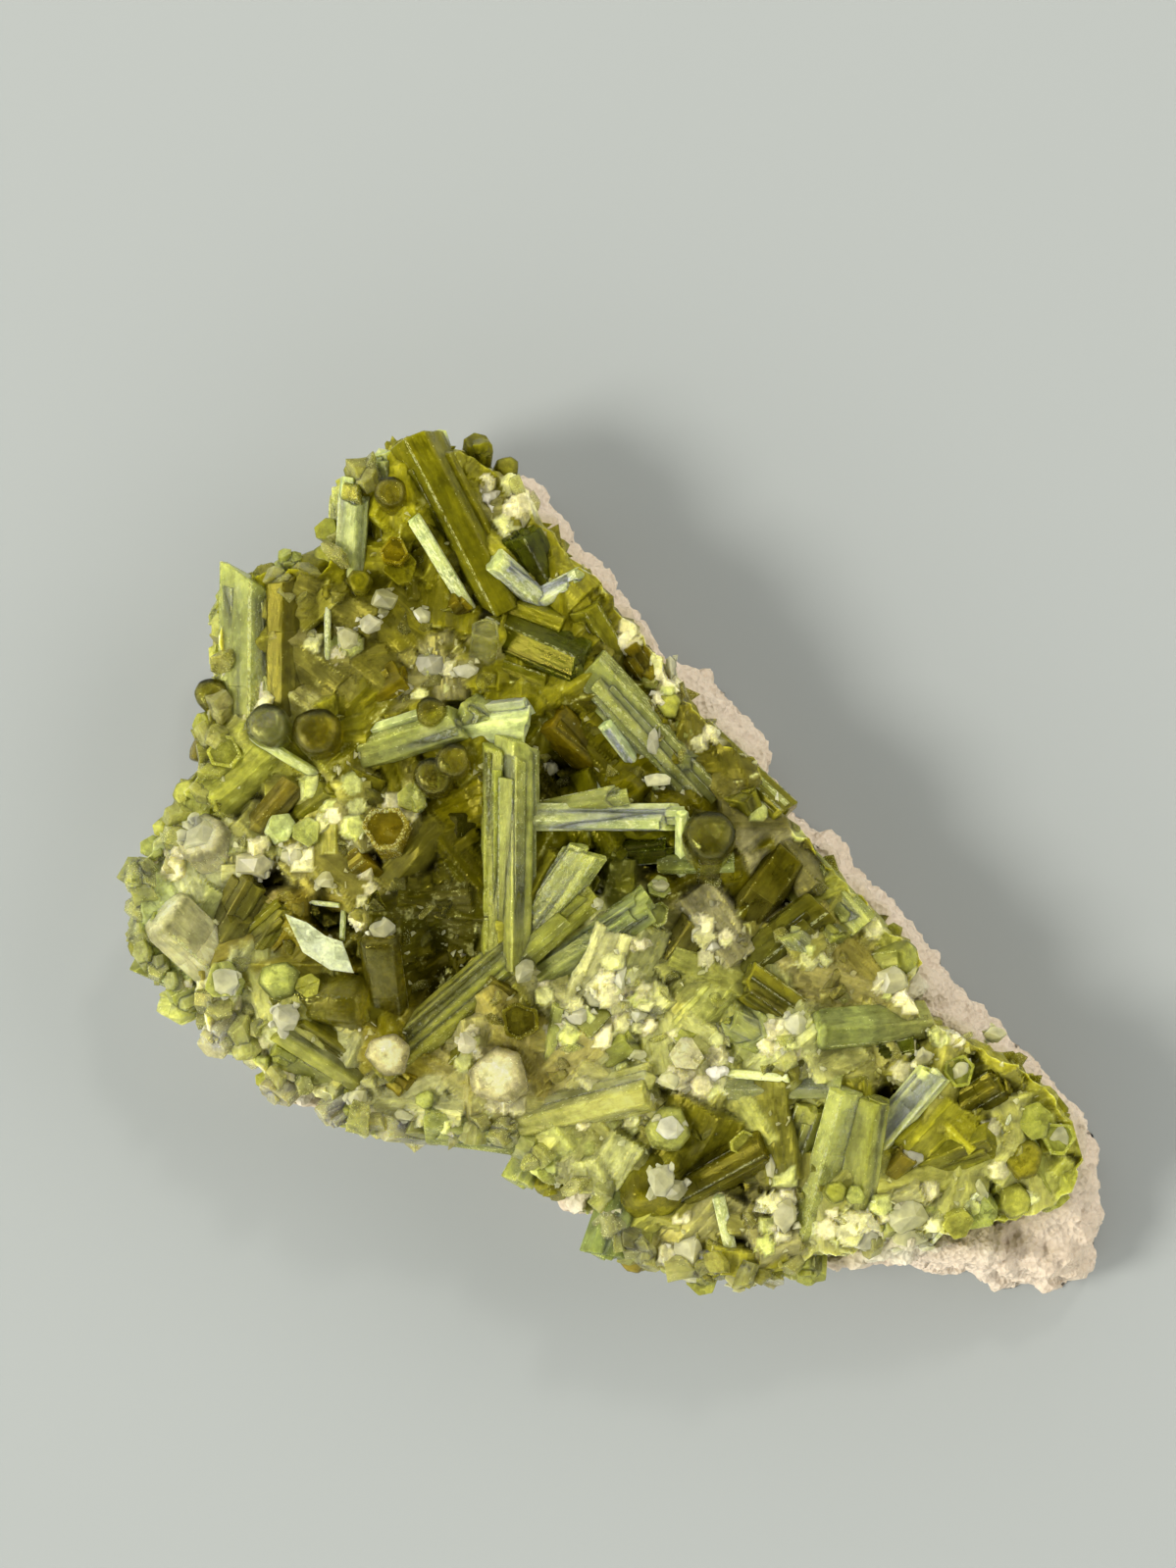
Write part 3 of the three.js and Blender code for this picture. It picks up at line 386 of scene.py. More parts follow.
    "edge_prism_c": (5.6, -18.2, 0.1, 6.3, -21.2, 0.3, 2.0, "flat", "olive", 0.1),
    "edge_prism_d": (3.4, -18.6, 0, 3.4, -21.4, 0.1, 1.6, "slant", "pale", 0.4),
    "edge_prism_e": (10.6, -19.0, 0.2, 10.4, -21.4, 0.2, 1.6, "flat", "lime", 0.2),
    "knob_by_patch": (3.9, -10.1, 0, 4.0, -9.7, 1.8, 1.7, "flat", "sugar", 0.3),
    "white_edged_prism": (6.0, -11.6, 1.2, 12.0, -11.4, 1.5, 1.3, "flat", "pale", 0.4),
    "white_edged_top": (6.1, -10.8, 1.5, 9.2, -10.95, 1.8, 0.5, "flat", "cream", 0.9),
    "pale_ground_a": (-1.4, -10.6, 0.1, 1.4, -9.0, 0.7, 2.4, "flat", "lime", 0.2),
    "pale_ground_b": (0.4, -6.8, 0.1, -1.8, -8.9, 0.6, 2.2, "flat", "lime", 0.3),
    "pale_ground_c": (2.4, -7.6, 0.1, 4.4, -9.3, 0.6, 1.9, "flat", "lime", 0.1),
    "thin_ridge": (8.2, -9.8, 1.0, 6.0, -8.0, 1.2, 0.4, "flat", "lime", 0.6),
    "beige_facet": (9.2, -9.4, 0.2, 5.9, -7.9, 0.8, 2.2, "slant", "pale", 0.3),
    "mid_slab": (11.6, -9.2, 0.5, 6.8, -5.8, 1.0, 2.3, "flat", "olive", 0.1),

    # Lower right.
    "grey_lying_dome": (15.4, -8.3, 0.7, 10.5, -8.6, 1.6, 2.3, "dome", "sea", 0.4),
    "dark_wedge": (12.2, -10.2, 0.4, 16.2, -9.2, 0.8, 2.0, "slant", "deep", 0.1),
    "bright_green_prism": (14.2, -13.7, 1.1, 16.7, -10.6, 2.2, 1.8, "flat", "cream", 0.5),
    "beige_round": (17.7, -10.9, 0, 17.9, -10.6, 2.1, 1.7, "rimmed", "lime", 0.15),
    "brown_triangle": (18.3, -12.4, 0.8, 20.6, -10.8, 1.4, 2.1, "point", "brown", 0),
    "far_right_dome": (22.8, -14.4, 0, 23.1, -14.1, 1.5, 1.8, "rimmed", "lime", 0.2),
    "tall_grey_prism": (9.9, -20.4, 0.3, 12.1, -11.4, 2.1, 1.9, "flat", "pale", 0.5),
    "olive_right_face": (12.8, -17.2, 0.9, 13.4, -11.9, 1.6, 2.2, "flat", "lime", 0.2),
    "olive_left_face": (8.8, -17.2, 0.7, 10.5, -12.3, 1.3, 1.8, "flat", "lime", 0.2),
    "lime_lump_a": (21.4, -13.6, 0, 21.8, -13.2, 1.9, 2.0, "flat", "lime", 0.3),
    "lime_lump_b": (21.0, -15.4, 0, 21.3, -15.1, 1.9, 2.1, "dome", "olive", 0.1),
    "lime_lump_c": (19.2, -17.2, 0, 18.9, -18.0, 1.6, 1.9, "flat", "pale", 0.3),
    "lime_lump_d": (17.7, -17.8, 0, 17.9, -18.5, 1.7, 1.6, "flat", "lime", 0.3),
    "lime_lump_e": (20.4, -16.9, 0, 21.0, -17.5, 1.5, 1.9, "dome", "lime", 0),
    "cream_prism": (17.0, -16.9, 0.3, 13.6, -18.3, 0.7, 2.1, "flat", "pale", 0.2),
    "amber_stub": (13.6, -16.6, 0.3, 15.6, -14.6, 0.8, 2.0, "flat", "honey", 0),
    "bead_a": (11.4, -17.0, 0.2, 11.6, -16.7, 2.0, 1.2, "dome", "lime", 0.3),
    "bead_b": (12.5, -17.1, 0.2, 12.6, -16.9, 1.8, 1.0, "dome", "pale", 0.3),
    "right_flat_a": (16.4, -15.6, 0.8, 19.8, -14.0, 1.4, 2.1, "flat", "olive", 0.2),
    "right_flat_b": (22.6, -16.8, 0.5, 20.0, -12.6, 1.0, 1.8, "slant", "lime", 0.3),
    "white_needle_a": (19.5, -15.6, 1.5, 20.6, -12.8, 1.9, 0.25, "flat", "cream", 1.0),
    "white_needle_b": (17.1, -19.0, 1.2, 18.9, -16.9, 1.7, 0.25, "flat", "cream", 1.0),
}

# Grains of quartz set among the crystals: x, y, height of the centre above the bed, half sizes
# along x, y and z.
QUARTZ_GRAINS = {
    "grain_by_knob": (-11.4, 13.4, 1.6, 0.75, 0.7, 0.9),
    "white_pair_a": (-12.1, 12.2, 2.0, 0.65, 0.55, 0.5),
    "white_pair_b": (-13.3, 11.5, 2.0, 0.65, 0.6, 0.5),
    "olive_disc": (-9.6, 12.5, 1.2, 0.6, 0.6, 0.4),
    "disc_cap": (-10.95, 15.95, 2.4, 0.5, 0.5, 0.3),
    "white_chip": (-7.2, 9.8, 1.7, 0.75, 0.4, 0.3),
    "beige_patch": (-9.0, 10.0, 1.2, 1.1, 0.9, 0.6),
    "line_bits": (-10.5, 8.9, 1.4, 0.8, 0.3, 0.3),
    "patch_rim": (3.2, 10.0, 0.7, 0.35, 0.7, 0.5),
    "white_arc": (2.3, 6.2, 1.3, 0.35, 0.8, 0.35),
    "white_flat": (2.5, 4.2, 1.6, 0.8, 0.4, 0.3),
    "hollow_beige": (-3.1, 4.8, 0.9, 0.6, 0.5, 0.6),
    "left_white": (-22.3, 2.1, 0.6, 0.6, 0.8, 0.6),
    "boss_crown": (-20.8, 1.2, 1.6, 1.2, 1.0, 0.6),
    "by_tablet": (-18.1, -0.1, 1.2, 1.0, 0.9, 0.8),
    "clear_lump": (-16.0, 0.3, 1.2, 0.8, 0.6, 0.7),
    "sparkling_round": (-14.4, -0.9, 1.5, 0.55, 0.55, 0.6),
    "prism_cap": (-11.5, -3.2, 2.4, 0.8, 0.75, 0.5),
    "sugar_heart_a": (4.5, -3.6, 1.0, 0.7, 0.8, 0.8),
    "sugar_heart_b": (5.3, -4.3, 0.9, 0.6, 0.6, 0.7),
    "tiny_bright": (-0.5, -2.0, 2.3, 0.3, 0.3, 0.3),
    "grain_top": (2.7, -1.2, 1.8, 0.5, 0.4, 0.4),
    "yellow_white_a": (-4.3, -5.5, 1.7, 0.65, 0.7, 0.6),
    "yellow_white_b": (-7.2, -9.1, 2.2, 0.6, 0.6, 0.5),
    "white_sugar_left": (-1.6, -7.8, 1.3, 0.8, 0.7, 0.6),
    "white_by_pale": (0.6, -5.8, 1.3, 0.5, 0.9, 0.5),
    "beige_big": (-0.4, -6.8, 1.0, 1.0, 0.8, 0.6),
    "white_small_a": (1.6, -7.8, 1.5, 0.5, 0.4, 0.4),
    "white_small_b": (1.5, -9.8, 1.5, 0.5, 0.35, 0.4),
    "white_small_c": (1.8, -11.9, 1.6, 0.7, 0.6, 0.5),
    "white_small_d": (3.1, -11.0, 1.6, 0.6, 0.6, 0.5),
    "corner_cluster": (-19.6, -6.1, 2.0, 0.9, 0.8, 0.5),
    "clear_ball": (-16.4, -7.8, 2.3, 0.8, 0.8, 0.75),
    "edge_white_a": (-12.8, -12.1, 1.4, 0.6, 0.6, 0.5),
    "edge_white_b": (-13.1, -13.5, 1.0, 0.4, 0.4, 0.4),
    "edge_white_c": (-12.5, -13.8, 1.1, 0.4, 0.35, 0.4),
    "edge_white_d": (-10.5, -13.0, 1.3, 0.6, 0.4, 0.4),
    "heart_a": (2.7, -16.1, 2.3, 0.75, 0.9, 0.6),
    "heart_b": (3.4, -16.7, 2.2, 0.7, 0.6, 0.6),
    "round_end_core": (3.1, -13.5, 2.0, 0.8, 0.8, 0.5),
    "edge_quartz": (4.1, -20.1, 0.9, 0.9, 1.4, 0.9),
    "bottom_white": (6.7, -21.4, 0.4, 1.0, 0.6, 0.6),
    "striped_white": (8.3, -15.4, 1.5, 0.3, 0.8, 0.4),
    "band_a": (13.2, -19.2, 0.9, 0.9, 0.7, 0.7),
    "band_b": (15.4, -19.2, 0.8, 1.2, 0.7, 0.7),
    "band_c": (9.0, -18.0, 1.4, 0.8, 1.0, 0.7),
    "cream_lump": (15.2, -18.1, 1.2, 1.5, 0.9, 0.8),
    "right_white_a": (9.6, -8.3, 1.5, 0.7, 0.8, 0.5),
    "right_white_b": (9.0, -9.8, 1.4, 0.3, 0.7, 0.3),
    "sparkle_top": (16.1, -9.9, 1.9, 0.5, 0.5, 0.4),
    "sparkle_low": (18.9, -16.8, 1.5, 0.5, 0.7, 0.3),
    "beige_soft": (15.3, -15.0, 1.2, 0.9, 0.7, 0.5),
    "white_head": (14.5, -6.0, 1.3, 0.9, 0.8, 0.6),
    "clear_right": (23.1, -14.1, 1.3, 0.7, 0.8, 0.5),
    "beige_end": (17.9, -10.6, 2.0, 0.7, 0.6, 0.4),
    "far_white": (19.9, -8.8, 0.2, 0.7, 0.5, 0.5),
}

# The thin plate of frosted crystal that catches the light, corner by corner: x, y and height
# above the bed.
BRIGHT_PLATE = [
    (-16.45, -2.6, 1.9), (-15.3, -3.05, 2.1), (-14.4, -3.7, 2.35), (-13.5, -4.0, 2.4),
    (-12.95, -5.6, 2.1), (-14.15, -5.45, 1.9), (-15.55, -4.55, 1.75),
]

# Tones of the tourmaline, as the crystal's body shows them with its haze, by finish.
FINISH_TONES = {
    "olive_tourmaline": {
        # The dark green tone after dark is painted shadow, under the long blade.
        "olive": "#a09c1c", "brown": "#6c6606", "dark": "#403e04", "blade_shadow_green": "#4c5606",
        # The black tone is painted shade, the dark of a hole among the crystals.
        "honey": "#988610", "deep": "#4a5806", "black": "#0e1c06",
    },
    "pale_tourmaline": {
        "lime": "#b8bc50", "pale": "#c2ca70", "sea": "#a8b868", "lemon": "#e6e27a",
        "sugar": "#e2dcac",
    },
    "clear_tourmaline": {"grey": "#f2f4b4", "amber_glass": "#d2c850"},
    "frosted_tourmaline": {"cream": "#c4d086", "frosted": "#aab87c"},
}
# Each finish: how much light passes, how rough its clean faces are, the tint that holds back its
# gloss, and the colour and density of the light that it lets through.
FINISH_VALUES = {
    "olive_tourmaline": (0.7, 0.14, "#90882c", "#f0dc1c", 350.0),
    "pale_tourmaline": (0.6, 0.18, "#a8a858", "#f0e650", 250.0),
    "clear_tourmaline": (0.93, 0.03, "#a8a858", "#f0e690", 120.0),
    "frosted_tourmaline": (0.2, 0.3, "#a8a858", "#f0e690", 200.0),
}
# The ground is opaque, so it is drawn darker than a see-through crystal of the same tone.
GROUND_SHADE = 0.6

# Patches where sugary quartz shows between the prisms: x, y, reach, share of the ground there.
SUGAR_PATCHES = [
    (-4.4, 18.4, 1.6, 0.9), (-8.7, 10.0, 1.1, 0.5), (-18.8, 9.2, 1.7, 0.6), (-14.0, 11.6, 1.2, 0.4),
    (-20.4, 1.4, 1.4, 0.9), (-23.2, 0.4, 1.2, 0.8), (-17.8, -0.8, 1.3, 0.8), (-15.9, 0.4, 0.9, 0.5),
    (-12.6, -1.6, 1.2, 0.5), (-10.3, 2.9, 0.9, 0.6), (0.2, -7.2, 2.4, 0.8), (-1.8, -8.2, 1.4, 0.8),
    (4.6, -10.6, 1.5, 0.9), (0.0, -12.4, 2.0, 0.6), (5.1, -3.8, 1.1, 0.9), (9.6, -9.0, 1.7, 0.7),
    (14.8, -6.9, 1.6, 0.9), (-5.6, -11.0, 1.4, 0.6), (-19.6, -9.4, 1.8, 0.9), (-15.4, -11.8, 1.8, 0.8),
    (-12.0, -13.2, 1.6, 0.6), (-20.0, -6.2, 1.2, 0.6), (-0.9, -18.0, 1.2, 0.9), (3.9, -20.0, 1.4, 0.7),
    (8.8, -18.6, 1.7, 0.8), (13.4, -19.2, 2.0, 0.9), (16.6, -18.4, 1.6, 0.6), (3.0, 9.6, 1.2, 0.5),
    (8.6, 3.4, 1.2, 0.5), (16.2, -9.9, 0.9, 0.5), (-7.2, -9.2, 1.1, 0.6), (10.5, -4.5, 1.3, 0.4),
    (1.2, 11.6, 0.8, 0.6), (5.0, 6.9, 0.8, 0.6), (9.3, 1.8, 0.8, 0.5), (13.4, -2.6, 0.9, 0.6),
    (17.4, -8.9, 0.9, 0.7), (20.6, -10.6, 0.8, 0.5), (15.4, -5.2, 0.9, 0.6), (-13.6, 2.4, 1.5, 0.5),
    (20.4, -14.9, 1.6, 0.5), (-17.9, -10.2, 1.1, 0.9), (-9.0, -13.6, 1.1, 0.8),
]
# Grains in each square millimetre of a patch, and their smallest and largest radius.
SUGAR_DENSITY = 2.2
SUGAR_RADIUS = (0.3, 0.8)
# How far the sugar whitens the tourmaline in the middle of a patch.
SUGAR_TINT = 0.6

# How the tone of the massive ground changes over the specimen: x, y, reach, tone. Some of the dark tones
# are painted shadow.
GROUND_TONES = [
    (-10, 18, 4, "olive"), (-18, 11, 4, "olive"), (-14, 11.5, 2.5, "brown"), (-9, 13, 3, "brown"),
    (-4, 11, 4, "olive"), (1, 9, 4, "brown"), (-19, 4, 3, "lime"), (-22, 0, 2.5, "cream"),
    # The dark tone at (-8, -2) is painted shadow to the right of and below the twin domes.
    (-14, 2, 3, "olive"), (-9, 2, 3, "brown"), (-8, -2, 3, "dark"), (0, 3, 3, "brown"),
    (4, 0, 3, "brown"), (-17, -3, 3, "honey"), (-14, -8, 3, "olive"), (-20, -7, 2.5, "cream"),
    (-9, -10, 3, "honey"), (-4, -6, 3, "olive"), (0, -7, 3, "pale"), (4, -8, 3, "lime"),
    (8, -3, 4, "brown"), (12.5, -2.6, 1.8, "lime"), (8, -9, 3, "pale"), (14, -9, 3, "olive"),
    (12, -5, 2, "honey"), (15, -14, 3, "olive"), (18, -12, 3, "olive"), (20, -16, 3, "lime"),
    (14, -18, 3, "lime"), (22, -13.5, 1.5, "olive"), (8, -15, 3, "brown"), (3, -14, 3, "olive"),
    (-1, -18, 3, "pale"), (-9, -13.4, 2.5, "cream"), (-15, -11, 2, "cream"), (5, -20, 3, "olive"),
    (-17.6, -9.9, 0.9, "dark"), (-13.4, -11.4, 0.9, "dark"), (-21.6, -7.4, 0.8, "brown"),
    # The dark tones at (-10, -1.5) and (-9.2, -6) are painted shadow in the hollow by the striated
    # block.
    (-1.5, 13.5, 1.5, "brown"), (-10, -1.5, 2.8, "dark"), (-9.2, -6, 2.8, "dark"),
    # The dark tone at (-2.5, 5) is painted shadow right of the pillar, and the tone at (0.5, 1) is
    # painted shadow under the long blade.
    (-6.5, -0.5, 1.5, "dark"), (-2.5, 5, 2, "dark"), (0.5, 1, 2.5, "blade_shadow_green"),
    (-13, -6.5, 2, "brown"), (-4, -10, 1.5, "honey"), (6, 3, 2.5, "brown"),
    (18.3, -12.8, 1.3, "dark"), (-15.5, 9.5, 1.5, "dark"), (-10.5, 13.8, 1.2, "dark"),
    (12, -12, 1.5, "brown"), (5, -16, 1.5, "brown"),
]


def scatter(n):
    """Gives the same number between 0 and 1 every time for the same n."""
    s = math.sin(n * 127.1 + 311.7) * 43758.5453
    return s - math.floor(s)


def bed(x, y):
    """Height of the crystals' bed above the cut base, in the layout's millimetres."""
    z = BED_HEIGHT + BED_UNEVENNESS * np.sin(0.9 * x + 0.4 * y) * np.cos(0.7 * y - 0.3 * x)
    for cx, cy, a, b, rise in SWELLS:
        z += rise * np.exp(-(((x - cx) / a) ** 2) - ((y - cy) / b) ** 2)
    for cx, cy, radius, depth in PITS:
        z -= depth * np.exp(-((x - cx) ** 2 + (y - cy) ** 2) / radius**2)
    return z


def place(x, y, z):
    """A point of the layout in the frame's metres."""
    return (Vector((x, y, z)) + LAYOUT_SHIFT) * MM


def linear(hex_colour):
    """An sRGB hex colour as linear red, green, blue and alpha."""
    values = [int(hex_colour[i : i + 2], 16) / 255 for i in (1, 3, 5)]
    parts = [v / 12.92 if v <= 0.04045 else ((v + 0.055) / 1.055) ** 2.4 for v in values]
    return (*parts, 1.0)


TONES = {tone: np.array(linear(colour))
         for tones in FINISH_TONES.values() for tone, colour in tones.items()}
FINISH_OF = {tone: finish for finish, tones in FINISH_TONES.items() for tone in tones}


def vary(tone, number):
    """The tone of one crystal, a little lighter, darker or yellower than the others of its kind."""
    r, g, b, a = TONES[tone]
    light = 0.88 + 0.26 * scatter(number + 0.3)
    warm = 0.96 + 0.08 * scatter(number + 0.7)
    return np.array((min(1, r * light * warm), min(1, g * light), min(1, b * light / warm), a))


def falloff(x, y, cx, cy, reach):
    """A weight that is 1 at the place cx, cy and fades away from it."""
    return math.exp(-((x - cx) ** 2 + (y - cy) ** 2) / reach**2)


def ground_tone(x, y):
    """The tone of the massive ground at a place of the layout, whiter in the patches of sugar and
    painted darker in the pits as shade."""
    total, mixed = 1e-6, np.zeros(3)
    for cx, cy, reach, tone in GROUND_TONES:
        weight = falloff(x, y, cx, cy, reach)
        total += weight
        mixed += weight * TONES[tone][:3]
    mixed = mixed / total
    for cx, cy, reach, share in SUGAR_PATCHES:
        whiter = SUGAR_TINT * share * falloff(x, y, cx, cy, 1.3 * reach)
        mixed += whiter * (TONES["sugar"][:3] - mixed)
    # Painted shade: the ground darkens towards the middle of each pit.
    for cx, cy, radius, _depth in PITS:
        mixed *= 1 - 0.85 * falloff(x, y, cx, cy, radius)
    return np.array((*mixed, 1.0))


def add(tree, kind, inputs=None, out=0, **settings):
    """Adds a node with its settings, links or sets its inputs by name or number, and gives back
    the output of that name or number."""
    node = tree.nodes.new(kind)
    for name, value in settings.items():
        setattr(node, name, value)
    for key, value in (inputs or {}).items():
        socket = node.inputs[key]
        for source in value if isinstance(value, list) else [value]:
            if isinstance(source, bpy.types.NodeSocket):
                tree.links.new(source, socket)
            else:
                socket.default_value = source
    return node.outputs[out] if len(node.outputs) else None


def new_material(name):
    """A material with an empty node tree, and the tree."""
    material = bpy.data.materials.new(name)
    material.use_nodes = True
    material.node_tree.nodes.clear()
    return material, material.node_tree


def surface(tree):
    """What the tourmaline reads at each point: its tone and frost, its grain, which is the place
    in millimetres drawn out along the prism, and the place in metres."""
    return (add(tree, "ShaderNodeAttribute", attribute_name="tone"),
            add(tree, "ShaderNodeAttribute", out="Fac", attribute_name="frost"),
            add(tree, "ShaderNodeAttribute", out="Vector", attribute_name="grain"),
            add(tree, "ShaderNodeTexCoord", out="Object"))


def mosaic(tree, grain, stretch):
    """Blocks a crystal is broken into inside, about a millimetre across: a brightness for each."""
    wander = add(tree, "ShaderNodeTexNoise", {"Vector": grain, "Scale": 2.0, "Detail": 2.0},
                 out="Color")
    bent = add(tree, "ShaderNodeVectorMath", {0: wander, 1: (0.7, 0.7, 0.7), 2: grain},
               operation="MULTIPLY_ADD")
    fitted = add(tree, "ShaderNodeVectorMath", {0: bent, 1: stretch}, operation="MULTIPLY")
    block = add(tree, "ShaderNodeTexVoronoi", {"Vector": fitted, "Scale": 1.0}, out="Color")
    random = add(tree, "ShaderNodeSeparateXYZ", {"Vector": block})
    return add(tree, "ShaderNodeMapRange", {"Value": random, "To Min": 0.74, "To Max": 1.24})


def frosting(tree, field, frost, bare, full, softness, most=1.0):
    """How much a frost covers, up to most: it lies where the field is above a level that sinks
    from bare to full as the frost grows."""
    level = add(tree, "ShaderNodeMapRange", {"Value": frost, "To Min": bare, "To Max": full})
    above = add(tree, "ShaderNodeMath", {0: field, 1: level}, operation="SUBTRACT")
    return add(tree, "ShaderNodeMapRange",
               {"Value": above, "From Min": 0.0, "From Max": softness, "To Max": most})


def clouded(tree, tone, frost, light, spot, grain):
    """The body's colour under its frost, with lighter and darker blocks, striations, clouds and
    pale veils, and the striations by themselves, because they also stand up as ribs."""
    # Striations about 0.2 mm apart and clouds of about 0.7 mm.
    streak = add(tree, "ShaderNodeTexNoise",
                 {"Vector": grain, "Scale": 4.5, "Detail": 3.0, "Roughness": 0.65})
    cloud = add(tree, "ShaderNodeTexNoise",
                {"Vector": spot, "Scale": 1.5 / MM, "Detail": 5.0, "Roughness": 0.62})
    lines = add(tree, "ShaderNodeMapRange",
                {"Value": streak, "From Min": 0.3, "From Max": 0.7, "To Min": 0.8, "To Max": 1.19})
    drift = add(tree, "ShaderNodeMapRange",
                {"Value": cloud, "From Min": 0.3, "From Max": 0.7, "To Min": 0.62, "To Max": 1.36})
    shade = add(tree, "ShaderNodeMath", {0: lines, 1: drift}, operation="MULTIPLY")
    shade = add(tree, "ShaderNodeMath", {0: shade, 1: light}, operation="MULTIPLY")
    body = add(tree, "ShaderNodeMix", {"Factor": 1.0, 6: tone, 7: shade}, out=2, data_type="RGBA",
               blend_type="MULTIPLY")
    # The body turns pale in its clouds where the crystal is frosted.
    veil = frosting(tree, cloud, frost, 0.66, 0.36, 0.2, most=0.4)
    return add(tree, "ShaderNodeMix", {"Factor": veil, 6: body, 7: linear("#c8ca80")}, out=2,
               data_type="RGBA"), streak


def tourmaline(name, transmission, clarity, gloss, absorbed, density):
    """Green tourmaline, an IOR 1.63 gem crystal: cloudy olive inside and broken into blocks, with
    fine lengthwise striations, and etched faces and edges flecked with yellowish white frost."""
    material, tree = new_material(name)
    tone, frost, grain, spot = surface(tree)
    # Etch pits of about 0.15 mm.
    etch = add(tree, "ShaderNodeTexNoise",
               {"Vector": spot, "Scale": 7 / MM, "Detail": 2.0, "Roughness": 0.7})
    # Frost grows in specks of about 0.12 by 0.23 mm, in rows along the prism and in patches of
    # about 0.8 mm.
    drawn = add(tree, "ShaderNodeVectorMath", {0: grain, 1: (8.0, 8.0, 24.0)}, operation="MULTIPLY")
    flecks = add(tree, "ShaderNodeTexNoise",
                 {"Vector": drawn, "Scale": 1.0, "Detail": 3.0, "Roughness": 0.7})
    patch = add(tree, "ShaderNodeTexNoise", {"Vector": spot, "Scale": 1.3 / MM, "Detail": 2.0})
    gathered = add(tree, "ShaderNodeMath", {0: patch, 1: 0.3, 2: flecks}, operation="MULTIPLY_ADD")
    gathered = add(tree, "ShaderNodeMath", {0: gathered, 1: 0.15}, operation="SUBTRACT")
    dusted = frosting(tree, gathered, frost, 0.70, 0.44, 0.17)
    body, streak = clouded(tree, tone, frost, mosaic(tree, grain, (1.0, 1.0, 6.0)), spot, grain)
    # Thin frost lets the green through, and thick frost is nearly white.
    white = add(tree, "ShaderNodeMix", {"Factor": frost, 6: linear("#bcc276"), 7: linear("#e4eab4")},
                out=2, data_type="RGBA")
    colour = add(tree, "ShaderNodeMix", {"Factor": dusted, 6: body, 7: white}, out=2,
                 data_type="RGBA")
    rough = add(tree, "ShaderNodeMapRange", {"Value": dusted, "To Min": clarity, "To Max": 0.6})
    ribs = add(tree, "ShaderNodeBump", {"Height": streak, "Strength": 0.35, "Distance": 0.08 * MM})
    bump = add(tree, "ShaderNodeBump",
               {"Height": etch, "Strength": 0.35, "Distance": 0.05 * MM, "Normal": ribs})
    # The tint holds back the gloss, which the etched faces scatter.
    shader = add(tree, "ShaderNodeBsdfPrincipled", {
        "Base Color": colour, "Roughness": rough, "IOR": 1.63, "Specular IOR Level": 0.42,
        "Specular Tint": linear(gloss), "Transmission Weight": transmission, "Normal": bump,
        "Subsurface Weight": 0.9, "Subsurface Radius": (1.0, 0.95, 0.3),
        "Subsurface Scale": 0.9 * MM,
    })
    volume = add(tree, "ShaderNodeVolumeAbsorption", {"Color": linear(absorbed), "Density": density})
    add(tree, "ShaderNodeOutputMaterial", {"Surface": shader, "Volume": volume})
    return material


def groundmass():
    """Massive tourmaline between the prisms: small cloudy crystals grown into each other, which
    light soaks into, with pale edges and flecks of frost."""
    material, tree = new_material("massive_tourmaline")
    tone, frost, grain, spot = surface(tree)
    flecks = add(tree, "ShaderNodeTexNoise",
                 {"Vector": spot, "Scale": 6 / MM, "Detail": 3.0, "Roughness": 0.7})
    body, streak = clouded(tree, tone, frost, mosaic(tree, grain, (2.8, 1.2, 1.0)), spot, grain)
    dusted = frosting(tree, flecks, frost, 0.80, 0.46, 0.08)
    colour = add(tree, "ShaderNodeMix", {"Factor": dusted, 6: body, 7: linear("#aeb276")}, out=2,
                 data_type="RGBA")
    bump = add(tree, "ShaderNodeBump", {"Height": streak, "Strength": 0.4, "Distance": 0.08 * MM})
    shader = add(tree, "ShaderNodeBsdfPrincipled", {
        "Base Color": colour, "Roughness": 0.18, "IOR": 1.6, "Specular IOR Level": 0.42,
        "Specular Tint": linear("#90882c"), "Normal": bump, "Subsurface Weight": 1.0,
        "Subsurface Radius": (1.0, 0.95, 0.3), "Subsurface Scale": 1.0 * MM,
    })
    add(tree, "ShaderNodeOutputMaterial", {"Surface": shader})
    return material


def milky_quartz():
    """Milky to clear quartz, IOR 1.544, with veils that scatter white light."""
    material, tree = new_material("milky_quartz")
    tone = add(tree, "ShaderNodeAttribute", attribute_name="tone")
    spot = add(tree, "ShaderNodeTexCoord", out="Object")
    # Veils of about 0.4 mm.
    veil = add(tree, "ShaderNodeTexNoise", {"Vector": spot, "Scale": 2.6 / MM, "Detail": 3.0})
    shade = add(tree, "ShaderNodeMapRange",
                {"Value": veil, "From Min": 0.3, "From Max": 0.7, "To Min": 0.7, "To Max": 1.05})
    colour = add(tree, "ShaderNodeMix", {"Factor": 1.0, 6: tone, 7: shade}, out=2,
                 data_type="RGBA", blend_type="MULTIPLY")
    rough = add(tree, "ShaderNodeMapRange", {"Value": veil, "To Min": 0.2, "To Max": 0.6})
    shader = add(tree, "ShaderNodeBsdfPrincipled", {
        "Base Color": colour, "Roughness": rough, "IOR": 1.544, "Transmission Weight": 0.35,
        "Specular IOR Level": 0.35, "Subsurface Weight": 0.8,
        "Subsurface Radius": (1.0, 0.95, 0.6), "Subsurface Scale": 0.7 * MM,
    })
    add(tree, "ShaderNodeOutputMaterial", {"Surface": shader})
    return material


